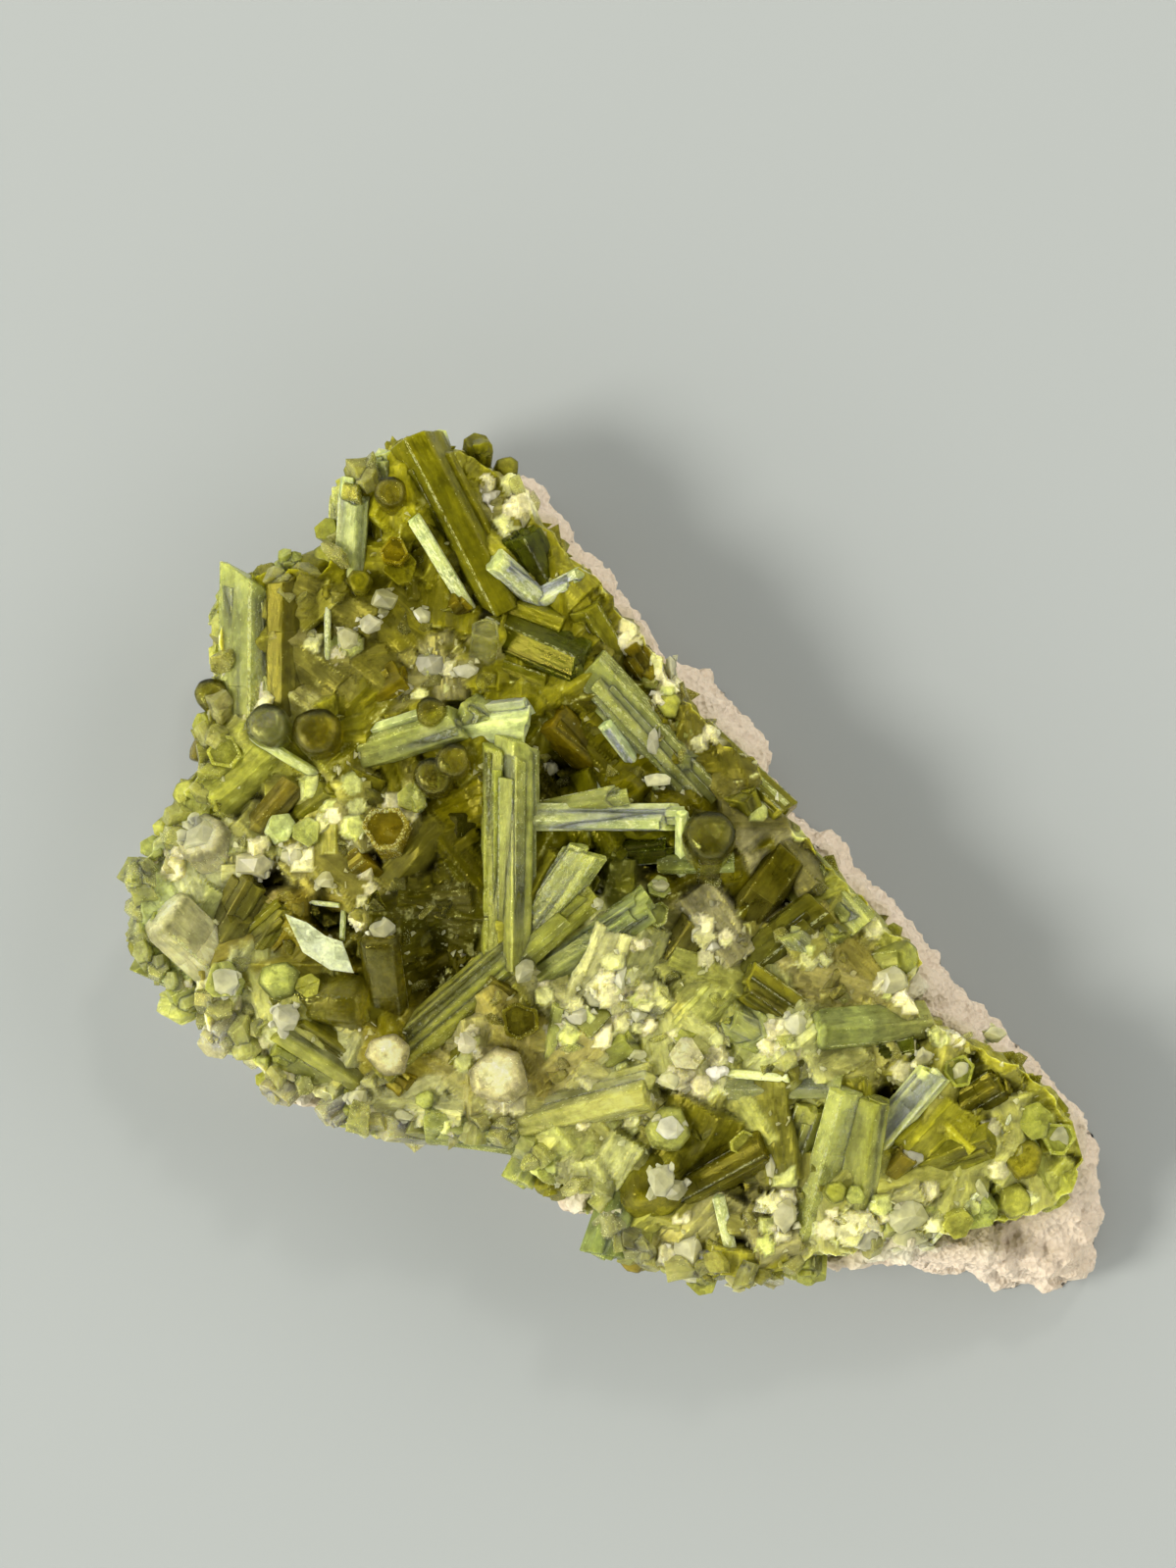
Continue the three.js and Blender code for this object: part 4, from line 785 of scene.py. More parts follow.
def sugary_quartz():
    """Granular quartz matrix: pale pinkish white, chalky in the hollows, grains of about 0.3 mm."""
    material, tree = new_material("sugary_quartz")
    spot = add(tree, "ShaderNodeTexCoord", out="Object")
    # Pinker and greyer places of about 4 mm.
    stain = add(tree, "ShaderNodeTexNoise", {"Vector": spot, "Scale": 0.26 / MM, "Detail": 5.0})
    grain = add(tree, "ShaderNodeTexVoronoi", {"Vector": spot, "Scale": 3.3 / MM})
    colour = add(tree, "ShaderNodeMix", {"Factor": stain, 6: linear("#cfc2b0"), 7: linear("#b5a48c")},
                 out=2, data_type="RGBA")
    # The lumps between the crystals are whiter, and the crystals' green soaks a little way into
    # the quartz beside them.
    for share, tint in (("clean", "#dedbc6"), ("stained", "#8f8450")):
        here = add(tree, "ShaderNodeAttribute", out="Fac", attribute_name=share)
        colour = add(tree, "ShaderNodeMix", {"Factor": here, 6: colour, 7: linear(tint)}, out=2,
                     data_type="RGBA")
    bump = add(tree, "ShaderNodeBump", {"Height": grain, "Strength": 0.9, "Distance": 0.2 * MM})
    shader = add(tree, "ShaderNodeBsdfPrincipled", {
        "Base Color": colour, "Roughness": 0.62, "IOR": 1.544, "Normal": bump,
        "Subsurface Weight": 0.25, "Subsurface Radius": (1.0, 0.8, 0.6),
        "Subsurface Scale": 0.6 * MM,
    })
    add(tree, "ShaderNodeOutputMaterial", {"Surface": shader})
    return material


# A closed body of a joined piece: whether each face is smooth and how frosted it is, and the
# tone and grain of each point.
Body = namedtuple("Body", "points faces smooth frost tones grain")


def wall(lower, upper):
    """The quads between two rings of points, going round once."""
    return list(zip(lower, lower[1:] + lower[:1], upper[1:] + upper[:1], upper))


def section(strips, seed):
    """Points round a tourmaline of unit radius: three broad and three narrow faces of shallow
    lengthwise grooves, with a narrow edge between one face and the next."""
    rng = np.random.default_rng(seed)
    depth = rng.choice((0.005, 0.009, 0.016))
    turn = np.arange(6) * np.pi / 3 + np.tile([0.12, -0.12], 3) + 0.05 * rng.standard_normal(6)
    reach = 1.05 + 0.03 * rng.standard_normal(6)
    corners = np.stack([reach * np.cos(turn), reach * np.sin(turn)], axis=1)
    outline = []
    for k in range(6):
        for i, t in enumerate(np.linspace(0.06, 0.94, strips)):
            groove = depth * rng.standard_normal() if 0 < i < strips - 1 else 0.0
            outline.append((corners[k] * (1 - t) + corners[(k + 1) % 6] * t) * (1 + groove))
    return np.array(outline)


def shaft_rings(rng, radius, top):
    """Rings up a shaft to near its top, with a shallow groove at each crack across it: how far
    along, share of the width, and lightness."""
    rings = [(0.0, 1.0, 1.0)]
    step = max(RING_PITCH * MM, 0.6 * radius)
    at = step * (0.4 + 0.8 * rng.random())
    while at < top:
        offset = 0.005 * rng.standard_normal()
        rings.append((at, 1 + offset, 1.0))
        if rng.random() < CRACK_SHARE:
            crack = CRACK_REACH * MM
            rings.append((at + crack, 0.985 + offset, 1.0))
            rings.append((at + 2 * crack, 1 + 0.01 * rng.standard_normal(), 1.0))
        at += step * (0.5 + 1.1 * rng.random())
    return rings


def crystal_faces(rings, strips, shaft, end, frost, number):
    """Faces round a crystal's rings of point numbers and over its two ends, whether each is
    smooth, and its frost. Some of the six sides and the edges between them are frosted more."""
    rounded = end in ROUNDNESS
    sides = len(rings[0])
    side_frost = [frost * (1.0 if scatter(number * 7 + s) < 0.35 + 0.65 * frost else 0.3)
                  for s in range(6)]
    edge_frost = [0.9 if scatter(number * 5 + s) < 0.4 else 0.3 for s in range(6)]
    faces, smooth, dusted = [], [], []
    for i, (lower, upper) in enumerate(zip(rings, rings[1:])):
        faces += wall(lower, upper)
        smooth += [rounded and i >= shaft - 1] * sides
        for k in range(sides):
            on_edge = k % strips == strips - 1 and i < shaft
            own = max(side_frost[k // strips], edge_frost[k // strips] if on_edge else 0.0)
            if end == "rimmed" and shaft <= i < shaft + 3:
                own = min(1.0, 0.25 + frost)
            elif i >= shaft:
                own *= 0.4
            dusted.append(own)
    tip, foot = rings[-1][-1] + 1, rings[-1][-1] + 2
    for k in range(sides):
        j = (k + 1) % sides
        faces += [(rings[-1][k], rings[-1][j], tip), (j, k, foot)]
        smooth += [rounded, False]
        dusted += [frost * 0.35, 0.0]
    return faces, smooth, dusted


def crystal_body(row, number):
    """One crystal: a striated shaft from its foot in the ground, and the kind of end it has."""
    x0, y0, h0, x1, y1, h1, width, end, tone, frost = row
    rng = np.random.default_rng(4000 + number)
    foot = place(x0, y0, bed(x0, y0) + h0 - FOOT_SINK)
    tip = place(x1, y1, bed(x1, y1) + h1)
    along = (tip - foot).normalized()
    foot -= along * FOOT_DEPTH * MM
    length = (tip - foot).length
    radius = width / 2 * MM
    # The wider a crystal, the more strips of grooves on each of its six sides.
    strips = 5 if width > 1.4 else 3 if width > 0.6 else 2
    sides = 6 * strips
    outline = section(strips, 100 + number)
    circle = outline / np.linalg.norm(outline, axis=1)[:, None]
    rounded, roundness = end in ROUNDNESS, ROUNDNESS.get(end, 0.0)
    outline = (1 - roundness) * outline + roundness * circle
    rings = shaft_rings(rng, radius, length - (1.9 if end == "slant" else 1.05) * radius)
    shaft = len(rings)
    cap = min(radius, 0.6 * length)
    rings += [(length - short * cap, share, light) for short, share, light in END_RINGS[end]]

    # The slanted face of an end looks up, and other crystals are turned round their axis at random.
    raised = Vector((0, 0, 1)).rotation_difference(along)
    up = raised.inverted() @ Vector((0, 0, 1))
    roll = math.atan2(up.y, up.x) if end == "slant" else scatter(number) * math.pi
    turn = np.array(raised.to_matrix() @ Matrix.Rotation(roll, 3, "Z"))
    lean = 0.16 * rng.standard_normal(2)
    # A flat end is broken in two levels along a chord.
    chord, level, broken = rng.uniform(0, 2 * np.pi), rng.uniform(-0.3, 0.6), rng.uniform(0.0, 0.35)
    own, ground = vary(tone, number), ground_tone(x0, y0)
    points, tones = [], []
    for i, (z, share, light) in enumerate(rings):
        shape = outline
        if rounded and i >= shaft:
            shape = share * outline + (1 - share) * 0.95 * circle
        shape = radius * share * shape * (1 + 0.004 * rng.standard_normal(sides))[:, None]
        x, y = shape.T
        drop = np.zeros(sides)
        if end == "flat" and i >= shaft:
            beyond = (x * np.cos(chord) + y * np.sin(chord)) / radius > level
            drop = lean[0] * x + lean[1] * y + np.where(beyond, broken * radius, 0.0)
        if end == "slant" and i >= shaft:
            drop = 0.9 * (radius + x) + 0.03 * radius * rng.standard_normal(sides)
        points.append(np.stack([x, y, z - drop], axis=1))
        # A crystal takes the ground's tone at its foot and has its own further up.
        own_share = min(0.85, 0.2 + 0.9 * z / length + 0.4 * frost)
        mixed = (own_share * own + (1 - own_share) * ground)[:3] * (1 + 0.10 * rng.standard_normal())
        mixed = np.tile(mixed * light, (sides, 1))
        if end == "capped" and i >= shaft - 1:
            # The far side of a glassy dome, towards +Y, is painted almost black: painted shade for the
            # dark crescent that the dome's refraction shows.
            far = shape @ turn[1, :2] / radius
            mixed *= (1 - 0.96 * np.clip((far - 0.42) / 0.2, 0, 1))[:, None]
        tones.append(np.hstack([np.clip(mixed, 0, 1), np.ones((sides, 1))]))
    tip_z = length - 0.9 * radius if end == "slant" else length + 0.012 * radius
    if end == "flat" and level < 0:
        tip_z -= broken * radius
    points.append(np.array([[0, 0, tip_z], [0, 0, 0]]))
    tones.append(np.array([0.85 * own + 0.15 * ground, ground]))
    local = np.concatenate(points)
    # The grain is drawn out along the prism, and no two crystals share a stretch of it.
    grain = local / MM * (1, 1, 0.18) + (0.0, 0.0, 7.3 * number)
    numbers = np.arange(len(rings) * sides).reshape(len(rings), sides).tolist()
    faces, smooth, dusted = crystal_faces(numbers, strips, shaft, end, frost, number)
    return Body(local @ turn.T + np.array(foot), faces, smooth, dusted, np.concatenate(tones), grain)


def store(mesh, name, kind, values, domain="POINT"):
    """Writes one value for each point or face of a mesh as a named attribute."""
    field = {"FLOAT": "value", "FLOAT_VECTOR": "vector", "FLOAT_COLOR": "color"}[kind]
    attribute = mesh.attributes.new(name, kind, domain)
    attribute.data.foreach_set(field, np.asarray(values, dtype=float).reshape(-1))


def linked(name, data):
    """A new object of the scene with this mesh, light or camera."""
    obj = bpy.data.objects.new(name, data)
    bpy.context.scene.collection.objects.link(obj)
    return obj


def plain_object(name, vertices, faces):
    """An object from points and faces."""
    mesh = bpy.data.meshes.new(name)
    mesh.from_pydata(vertices, [], faces)
    return linked(name, mesh)


def object_from(name, mesh):
    """An object from a mesh under construction, which is used up."""
    data = bpy.data.meshes.new(name)
    mesh.to_mesh(data)
    mesh.free()
    return linked(name, data)


def join_bodies(name, bodies, material):
    """One object from many closed bodies."""
    starts = np.cumsum([0] + [len(body.points) for body in bodies]).tolist()
    faces = [tuple(start + v for v in face)
             for start, body in zip(starts, bodies) for face in body.faces]
    obj = plain_object(name, np.concatenate([body.points for body in bodies]).tolist(), faces)
    mesh = obj.data
    mesh.polygons.foreach_set("use_smooth", [flag for body in bodies for flag in body.smooth])
    store(mesh, "frost", "FLOAT", [value for body in bodies for value in body.frost], "FACE")
    store(mesh, "tone", "FLOAT_COLOR", np.concatenate([body.tones for body in bodies]))
    store(mesh, "grain", "FLOAT_VECTOR", np.concatenate([body.grain for body in bodies]))
    mesh.materials.append(material)
    return obj


def walk_edge(corners, pitch):
    """Points at an even pitch along a smooth closed curve through the corners."""
    corners = np.array([(*c, 0.0)[:3] for c in corners])
    fine = []
    for i in range(len(corners)):
        a, b, c, d = (corners[(i + k - 1) % len(corners)] for k in range(4))
        for t in np.linspace(0, 1, 24, endpoint=False):
            fine.append(0.5 * (2 * b + (c - a) * t + (2 * a - 5 * b + 4 * c - d) * t**2
                               + (3 * b - a - 3 * c + d) * t**3))
    fine = np.array(fine)
    steps = np.linalg.norm(np.roll(fine, -1, axis=0)[:, :2] - fine[:, :2], axis=1)
    reach = np.concatenate([[0], np.cumsum(steps)])
    closed = np.vstack([fine, fine[:1]])
    at = np.linspace(0, reach[-1], round(reach[-1] / pitch), endpoint=False)
    return np.stack([np.interp(at, reach, closed[:, k]) for k in range(3)], axis=1)


def outward(points):
    """Unit directions out of a clockwise edge at each of its points."""
    ahead = np.roll(points, -1, axis=0) - np.roll(points, 1, axis=0)
    out = np.stack([-ahead[:, 1], ahead[:, 0]], axis=1)
    return out / np.linalg.norm(out, axis=1)[:, None]


def rim_rows():
    """Small crystals that stand out all round the free edge of the crust."""
    walk = walk_edge(CRUST_EDGE, RIM_PITCH)
    out = outward(walk)
    start = np.array(CRUST_EDGE[FREE_EDGE_START])
    first = next(i for i, v in enumerate(walk) if np.hypot(*(v[:2] - start)) < RIM_PITCH)
    rows = []
    for i in range(first, len(walk)):
        a, b, c = scatter(i), scatter(i + 200), scatter(i + 400)
        reach = RIM_REACH * (0.45 + 0.35 * a) * 0.55
        side = 0.9 * (b - 0.5)
        x, y, _ = walk[i]
        ox, oy = out[i]
        rows.append((
            x - 0.9 * ox, y - 0.9 * oy, -0.8 - 0.5 * c,
            x + reach * (ox - side * oy), y + reach * (oy + side * ox), -1.3 + 1.1 * b,
            1.1 + 0.7 * c, ("flat", "dome", "slant")[i % 3], RIM_TONES[i % len(RIM_TONES)], 0.3,
        ))
    return rows


def column_rows(rows):
    """The columns that lie side by side along each of the larger prisms, and give it lengthwise
    steps and a broken end."""
    columns = []
    for number, (x0, y0, h0, x1, y1, h1, width, end, tone, frost) in enumerate(rows):
        run = Vector((x1 - x0, y1 - y0, 0))
        small = width < BUNDLE_WIDTH or run.length < BUNDLE_LENGTH
        if small or end in ROUNDNESS or end == "rimmed":
            continue
        rng = np.random.default_rng(6000 + number)
        side = Vector((-run.y, run.x, 0)).normalized()
        count = 1 + round(width)
        for k in range(count):
            across = (k + 0.5) / count * 2 - 1 + 0.1 * rng.standard_normal()
            wide = width / count * rng.uniform(1.25, 1.8)
            off = across * (width - wide) / 2
            # The columns' tops follow the roof of a six-sided prism, each a little off it.
            rise = 0.43 * width * (1 - 0.45 * across**2) - wide / 2 + 0.06 * rng.standard_normal()
            first, last = rng.uniform(-0.05, 0.1), rng.uniform(0.82, 1.04)
            start = Vector((x0, y0, 0)) + run * first + side * off
            stop = Vector((x0, y0, 0)) + run * last + side * off
            columns.append((start.x, start.y, h0 + (h1 - h0) * first + rise,
                            stop.x, stop.y, h0 + (h1 - h0) * last + rise, wide,
                            ("flat", "flat", "point")[rng.integers(3)], tone,
                            float(np.clip(frost + 0.2 * rng.standard_normal(), 0, 1))))
    return columns


def build_crystals(finishes):
    """Every named crystal and those of the rim, joined into one piece for each finish."""
    rows = [*CRYSTALS.values(), *rim_rows()]
    rows += column_rows(rows)
    bodies = {name: [] for name in finishes}
    for number, row in enumerate(rows):
        tone = row[8]
        bodies[FINISH_OF[tone]].append(crystal_body(row, number))
    return [join_bodies(name.replace("tourmaline", "prisms"), found, finishes[name])
            for name, found in bodies.items()]


def crust_room():
    """The room that the crust is trimmed to: a closed prism over its edge, with a wall as rough as
    grown crystals."""
    walk = walk_edge(CRUST_EDGE, EDGE_PITCH)
    out = outward(walk)
    mesh = bmesh.new()
    rings = []
    for z in np.linspace(0, ROOM_HEIGHT, round(ROOM_HEIGHT / EDGE_PITCH)):
        ring = []
        for (x, y, _), (ox, oy) in zip(walk, out):
            at = Vector((x, y, z))
            step = 0.5 * noise.noise(at * 0.7) + 0.45 * noise.noise(at * 1.7)
            ring.append(mesh.verts.new(place(x + ox * step, y + oy * step, z)))
        rings.append(ring)
    for lower, upper in zip(rings, rings[1:]):
        for i in range(len(walk)):
            j = (i + 1) % len(walk)
            mesh.faces.new((lower[j], lower[i], upper[i], upper[j]))
    mesh.faces.new(rings[0])
    mesh.faces.new(list(reversed(rings[-1])))
    bmesh.ops.recalc_face_normals(mesh, faces=mesh.faces)
    return object_from("trim", mesh)


def bed_block(name, offset, depth, pitch):
    """A block whose top follows the bed at an offset from it. Its underside lies depth below the
    top, or below the cut where depth is 0."""
    cells = round(BLOCK_SIZE / pitch)
    mesh = bmesh.new()
    bmesh.ops.create_grid(mesh, x_segments=cells, y_segments=cells, size=BLOCK_SIZE / 2)
    top = list(mesh.faces)
    for v in mesh.verts:
        v.co.z = bed(v.co.x, v.co.y) + offset
    copy = bmesh.ops.duplicate(mesh, geom=list(mesh.verts) + list(mesh.edges) + top)
    under = [g for g in copy["geom"] if isinstance(g, bmesh.types.BMVert)]
    for v in under:
        v.co.z = v.co.z - depth if depth else -1.0
    borders = [e for e in mesh.edges if len(e.link_faces) == 1]
    bmesh.ops.bridge_loops(mesh, edges=borders)
    bmesh.ops.recalc_face_normals(mesh, faces=mesh.faces)
    for v in mesh.verts:
        v.co = place(*v.co)
    return object_from(name, mesh)


def settle(obj):
    """Turns an object with its modifiers into a plain mesh."""
    graph = bpy.context.evaluated_depsgraph_get()
    mesh = bpy.data.meshes.new_from_object(obj.evaluated_get(graph))
    obj.modifiers.clear()
    old = obj.data
    obj.data = mesh
    bpy.data.meshes.remove(old)


def boolean(obj, other, operation):
    """Cuts or joins obj with other and deletes other."""
    modifier = obj.modifiers.new("cut", "BOOLEAN")
    modifier.operation, modifier.object, modifier.solver = operation, other, "MANIFOLD"
    settle(obj)
    bpy.data.objects.remove(other)


def layout_points(mesh):
    """The points of a mesh as x, y and z of the layout, in millimetres."""
    at = np.zeros(3 * len(mesh.vertices))
    mesh.vertices.foreach_get("co", at)
    return at.reshape(-1, 3) / MM - np.array(LAYOUT_SHIFT)


def nearest(x, y, corners):
    """How far points lie from the nearest of an edge's corners, in millimetres."""
    reach = np.full(len(x), 1e3)
    for c in corners:
        reach = np.minimum(reach, np.hypot(x - c[0], y - c[1]))
    return reach


class Ground:
    """The ground on its grid: the upper envelope of all that is laid on it, as height above the
    bed, tone, frost and grain of each point."""

    def __init__(self):
        """An empty ground."""
        cells = round(GROUND_SIZE / GROUND_PITCH)
        self.axis = (np.arange(cells + 1) / cells - 0.5) * GROUND_SIZE
        self.height = np.full((cells + 1, cells + 1), GROUND_LOWEST)
        self.tone = np.zeros((cells + 1, cells + 1, 4))
        self.frost = np.zeros_like(self.height)
        self.grain = np.zeros((cells + 1, cells + 1, 3))

    def window(self, x0, y0, x1, y1):
        """The part of the grid inside a rectangle."""
        return (slice(*np.searchsorted(self.axis, (x0, x1))),
                slice(*np.searchsorted(self.axis, (y0, y1))))

    def around(self, cx, cy, reach):
        """The part of the grid round a place, and how far its points are from it in x and y."""
        spot = self.window(cx - reach, cy - reach, cx + reach, cy + reach)
        return spot, *np.meshgrid(self.axis[spot[0]] - cx, self.axis[spot[1]] - cy, indexing="ij")

    def lay(self, spot, z, tone, frost, grain):
        """Lays a surface on that part of the grid, where it is higher than what lies there."""
        won = z > self.height[spot]
        self.height[spot] = np.where(won, z, self.height[spot])
        self.tone[spot] = np.where(won[..., None], tone, self.tone[spot])
        self.frost[spot] = np.where(won, frost, self.frost[spot])
        self.grain[spot] = np.where(won[..., None], grain, self.grain[spot])


def prism_faces(rng, u, v, half, wide, roll, slope):
    """Heights of the upper faces of a lying hexagonal prism and of its two steep ends, at u along
    it and v across it."""
    planes = []
    for turn in (roll - 60, roll, roll + 60):
        turn = math.radians(turn)
        if math.cos(turn) > 0.2:
            planes.append((wide - v * math.sin(turn)) / math.cos(turn) - wide + slope * u)
    planes.append((half - np.abs(u)) * rng.uniform(2.0, 6.0) - wide + slope * u)
    return planes


def upright_faces(u, v, wide, slope_u, slope_v):
    """Heights of the gently sloping top and the steep sides of an upright hexagonal prism."""
    planes = []
    for k in range(6):
        turn = math.radians(60 * k)
        planes.append((wide - u * math.cos(turn) - v * math.sin(turn)) * 4.0)
    planes.append(slope_u * u + slope_v * v)
    return planes


def lay_prisms(ground, rng):
    """Lays the small prisms of the ground, grown into each other, and says how many."""
    number = 0
    for count, halves, widths, lifts, some_stand in GROUND_KINDS:
        for _ in range(count):
            number += 1
            cx, cy = rng.uniform(-GROUND_SIZE / 2, GROUND_SIZE / 2, 2)
            heading = math.radians(rng.choice(GROUND_HEADINGS)) + 0.3 * rng.standard_normal()
            half, wide, lift = rng.uniform(*halves), rng.uniform(*widths), rng.uniform(*lifts)
            upright = some_stand and number % UPRIGHT_EVERY == 1
            slope_u, slope_v = 0.1 * rng.standard_normal(2)
            roll = rng.uniform(-30, 30)
            light, dust = rng.uniform(0.8, 1.2), rng.uniform(0.0, 1.0)
            reach = (1.1 * wide if upright else math.hypot(half, wide)) + GROUND_PITCH
            spot, dx, dy = ground.around(cx, cy, reach)
            if not dx.size:
                continue
            u = dx * math.cos(heading) + dy * math.sin(heading)
            v = dy * math.cos(heading) - dx * math.sin(heading)
            if upright:
                planes = upright_faces(u, v, wide, slope_u, slope_v)
            else:
                planes = prism_faces(rng, u, v, half, wide, roll, slope_u)
            ordered = np.sort(np.array(planes), axis=0)
            # A lying prism is grown from columns, each a little higher or lower.
            steps = rng.uniform(-COLUMN_STEP, COLUMN_STEP, 16)
            column = np.floor(v / COLUMN_WIDTH).astype(int) % 16
            ordered[0] += np.zeros_like(v) if upright else steps[column]
            tone = ground_tone(cx, cy) * (light, light, light, 1)
            near_edge = np.clip(1 - (ordered[1] - ordered[0]) / 0.09, 0, 1)
            frost = np.maximum(near_edge * dust, 0.5 * dust**2)
            grain = np.stack([u * 0.18, v, np.full(u.shape, GRAIN_APART * number)], axis=-1)
            ground.lay(spot, lift + ordered[0], tone, frost, grain)
    return number


def bank_up(ground):
    """Raises the ground against the named crystals, so that they stand half sunk in it."""
    raised = np.zeros_like(ground.height)
    for x0, y0, h0, x1, y1, h1, width, _end, tone, _frost in CRYSTALS.values():
        reach = width / 2 + 2 * BANK_REACH
        spot = ground.window(min(x0, x1) - reach, min(y0, y1) - reach,
                             max(x0, x1) + reach, max(y0, y1) + reach)
        gx, gy = np.meshgrid(ground.axis[spot[0]], ground.axis[spot[1]], indexing="ij")
        run = np.array([x1 - x0, y1 - y0])
        share = np.clip(((gx - x0) * run[0] + (gy - y0) * run[1]) / (run @ run), 0, 1)
        away = np.hypot(gx - x0 - share * run[0], gy - y0 - share * run[1]) - width / 2
        # An upright crystal is banked up to the same height all round.
        foot = h0 - FOOT_SINK
        level = (foot + h1) / 2 if math.hypot(*run) < width else foot + (h1 - foot) * share
        rise = np.clip(level + BANK_SHARE.get(tone, CLEAR_SHARE) * width - GROUND_LIFT, 0, BANK_RISE)
        fall = np.exp(-((np.maximum(away, 0) / BANK_REACH) ** 2))
        raised[spot] = np.maximum(raised[spot], rise * fall)
    ground.height += raised


def soften_tones(ground):
    """Moves the tone of each point of the ground towards its neighbours' tones."""
    for side in (0, 1):
        before, after = (np.roll(ground.tone, step, axis=side) for step in (1, -1))
        ground.tone = 0.5 * ground.tone + 0.25 * (before + after)


def lay_sugar(ground, rng, number):
    """Lays faceted grains of sugary quartz on the ground, thickest in the middle of each patch.
    Their grain carries on from that number of prisms."""
    cream, glassy = TONES["sugar"], TONES["pale"]
    for px, py, reach, share in SUGAR_PATCHES:
        for _ in range(round(SUGAR_DENSITY * share * math.pi * reach**2)):
            number += 1
            cx, cy = rng.normal((px, py), 0.55 * reach)
            radius = rng.uniform(*SUGAR_RADIUS)
            spot, dx, dy = ground.around(cx, cy, radius)
            if not dx.size or max(abs(cx), abs(cy)) > GROUND_SIZE / 2 - 1:
                continue
            tilt_x, tilt_y = 0.35 * rng.standard_normal(2)
            sides, turn = rng.integers(4, 7), rng.uniform(0, 6)
            away = np.max([dx * math.cos(turn + k * 2 * math.pi / sides)
                           + dy * math.sin(turn + k * 2 * math.pi / sides) for k in range(sides)],
                          axis=0) / (0.85 * radius)
            base = ground.height[np.searchsorted(ground.axis, cx), np.searchsorted(ground.axis, cy)]
            top = np.minimum(1.6 * (1 - away), 0.45 + tilt_x * dx / radius + tilt_y * dy / radius)
            mix = rng.uniform(0, 1) ** 2
            tone = (cream * (1 - mix) + glassy * mix) / GROUND_SHADE * rng.uniform(0.6, 0.95)
            tone = tone[None, None, :] * (1 - 0.3 * np.clip(away - 0.4, 0, 0.5))[..., None]
            grain = np.stack([dx, dy, np.full(dx.shape, GRAIN_APART * number)], axis=-1)
            z = np.where(away < 1, min(base, 0.4) - 0.1 + radius * top, -9)
            ground.lay(spot, z, tone, 0.4, grain)


def relief_block(ground):
    """A block whose top is the relief of the ground on the bed."""
    count = len(ground.axis)
    gx, gy = np.meshgrid(ground.axis, ground.axis, indexing="ij")
    top = np.stack([gx, gy, bed(gx, gy) + GROUND_LIFT + ground.height], axis=-1).reshape(-1, 3)
    half = GROUND_SIZE / 2
    base = np.array([[-half, -half, -1], [half, -half, -1], [half, half, -1], [-half, half, -1]])
    vertices = (np.vstack([top, base]) + np.array(LAYOUT_SHIFT)) * MM
    index = np.arange(count * count).reshape(count, count)
    quads = np.stack([index[:-1, :-1], index[1:, :-1], index[1:, 1:], index[:-1, 1:]], axis=-1)
    faces = quads.reshape(-1, 4).tolist()
    a, b, c, d = (count * count + k for k in range(4))
    faces += [[d, c, b, a], [a, b, *index[::-1, 0].tolist()], [b, c, *index[-1, ::-1].tolist()],
              [c, d, *index[:, -1].tolist()], [d, a, *index[0, :].tolist()]]
    return plain_object("massive_bed", vertices.tolist(), faces)


def sugar_share(points, x, y):
    """How thickly crumbs lie at points of the crust: round the quartz grains and in patches."""
    near = np.zeros(len(x))
    for gx, gy, _h, a, b, _c in QUARTZ_GRAINS.values():
        near = np.maximum(near, np.exp(-((x - gx) ** 2 + (y - gy) ** 2) / (2.2 * max(a, b)) ** 2))
    broad = np.array([noise.noise(Vector(p) * 0.45) for p in points])
    fine = np.array([noise.noise(Vector(p) * 1.1) for p in points])
    patches = 2.5 * np.maximum(0, broad - 0.08)
    return np.clip(np.maximum(near * 0.6, patches) * np.maximum(0, 0.4 + 2 * fine), 0, 1)


def build_bed(finish):
    """The massive crust under and between the prisms, made of small prisms grown together."""
    ground = Ground()
    rng = np.random.default_rng(77)
    number = lay_prisms(ground, rng)
    bank_up(ground)
    soften_tones(ground)
    lay_sugar(ground, rng, number)
    block = relief_block(ground)
    room = crust_room()
    shell = bed_block("shell", offset=HEADROOM, depth=HEADROOM + CRUST_DEPTH, pitch=0.8)
    boolean(room, shell, "INTERSECT")
    boolean(block, room, "INTERSECT")
    mesh = block.data
    points = layout_points(mesh)
    x, y = points[:, 0], points[:, 1]
    pitch = ground.axis[1] - ground.axis[0]
    spot = tuple(np.clip(np.round((v - ground.axis[0]) / pitch).astype(int), 0, len(ground.axis) - 1)
                 for v in (x, y))
    # The flank is the wall of the crust, apart from the side where it meets the matrix.
    matrix_side = walk_edge(CRUST_EDGE[:FREE_EDGE_START] + [(9, 2), (-2, 15)], EDGE_PITCH)
    outside = nearest(x, y, walk_edge(CRUST_EDGE, EDGE_PITCH)) < FLANK_REACH
    flank = outside & (nearest(x, y, matrix_side) > MATRIX_SIDE_REACH)
    shade = (GROUND_SHADE, GROUND_SHADE, GROUND_SHADE, 1)
    store(mesh, "tone", "FLOAT_COLOR", ground.tone[spot] * shade)
    store(mesh, "frost", "FLOAT", ground.frost[spot])
    store(mesh, "grain", "FLOAT_VECTOR", ground.grain[spot])
    store(mesh, "sugar", "FLOAT", sugar_share(points, x, y))
    store(mesh, "flank", "FLOAT", flank)
    mesh.materials.clear()
    mesh.materials.append(finish)
    return block


def with_grain(obj):
    """Gives a small shape of unit size its lengthwise grain."""
    grain = [(1.3 * v.co.x, 1.3 * v.co.y, 0.4 * v.co.z + len(obj.name)) for v in obj.data.vertices]
    store(obj.data, "grain", "FLOAT_VECTOR", grain)
    return obj


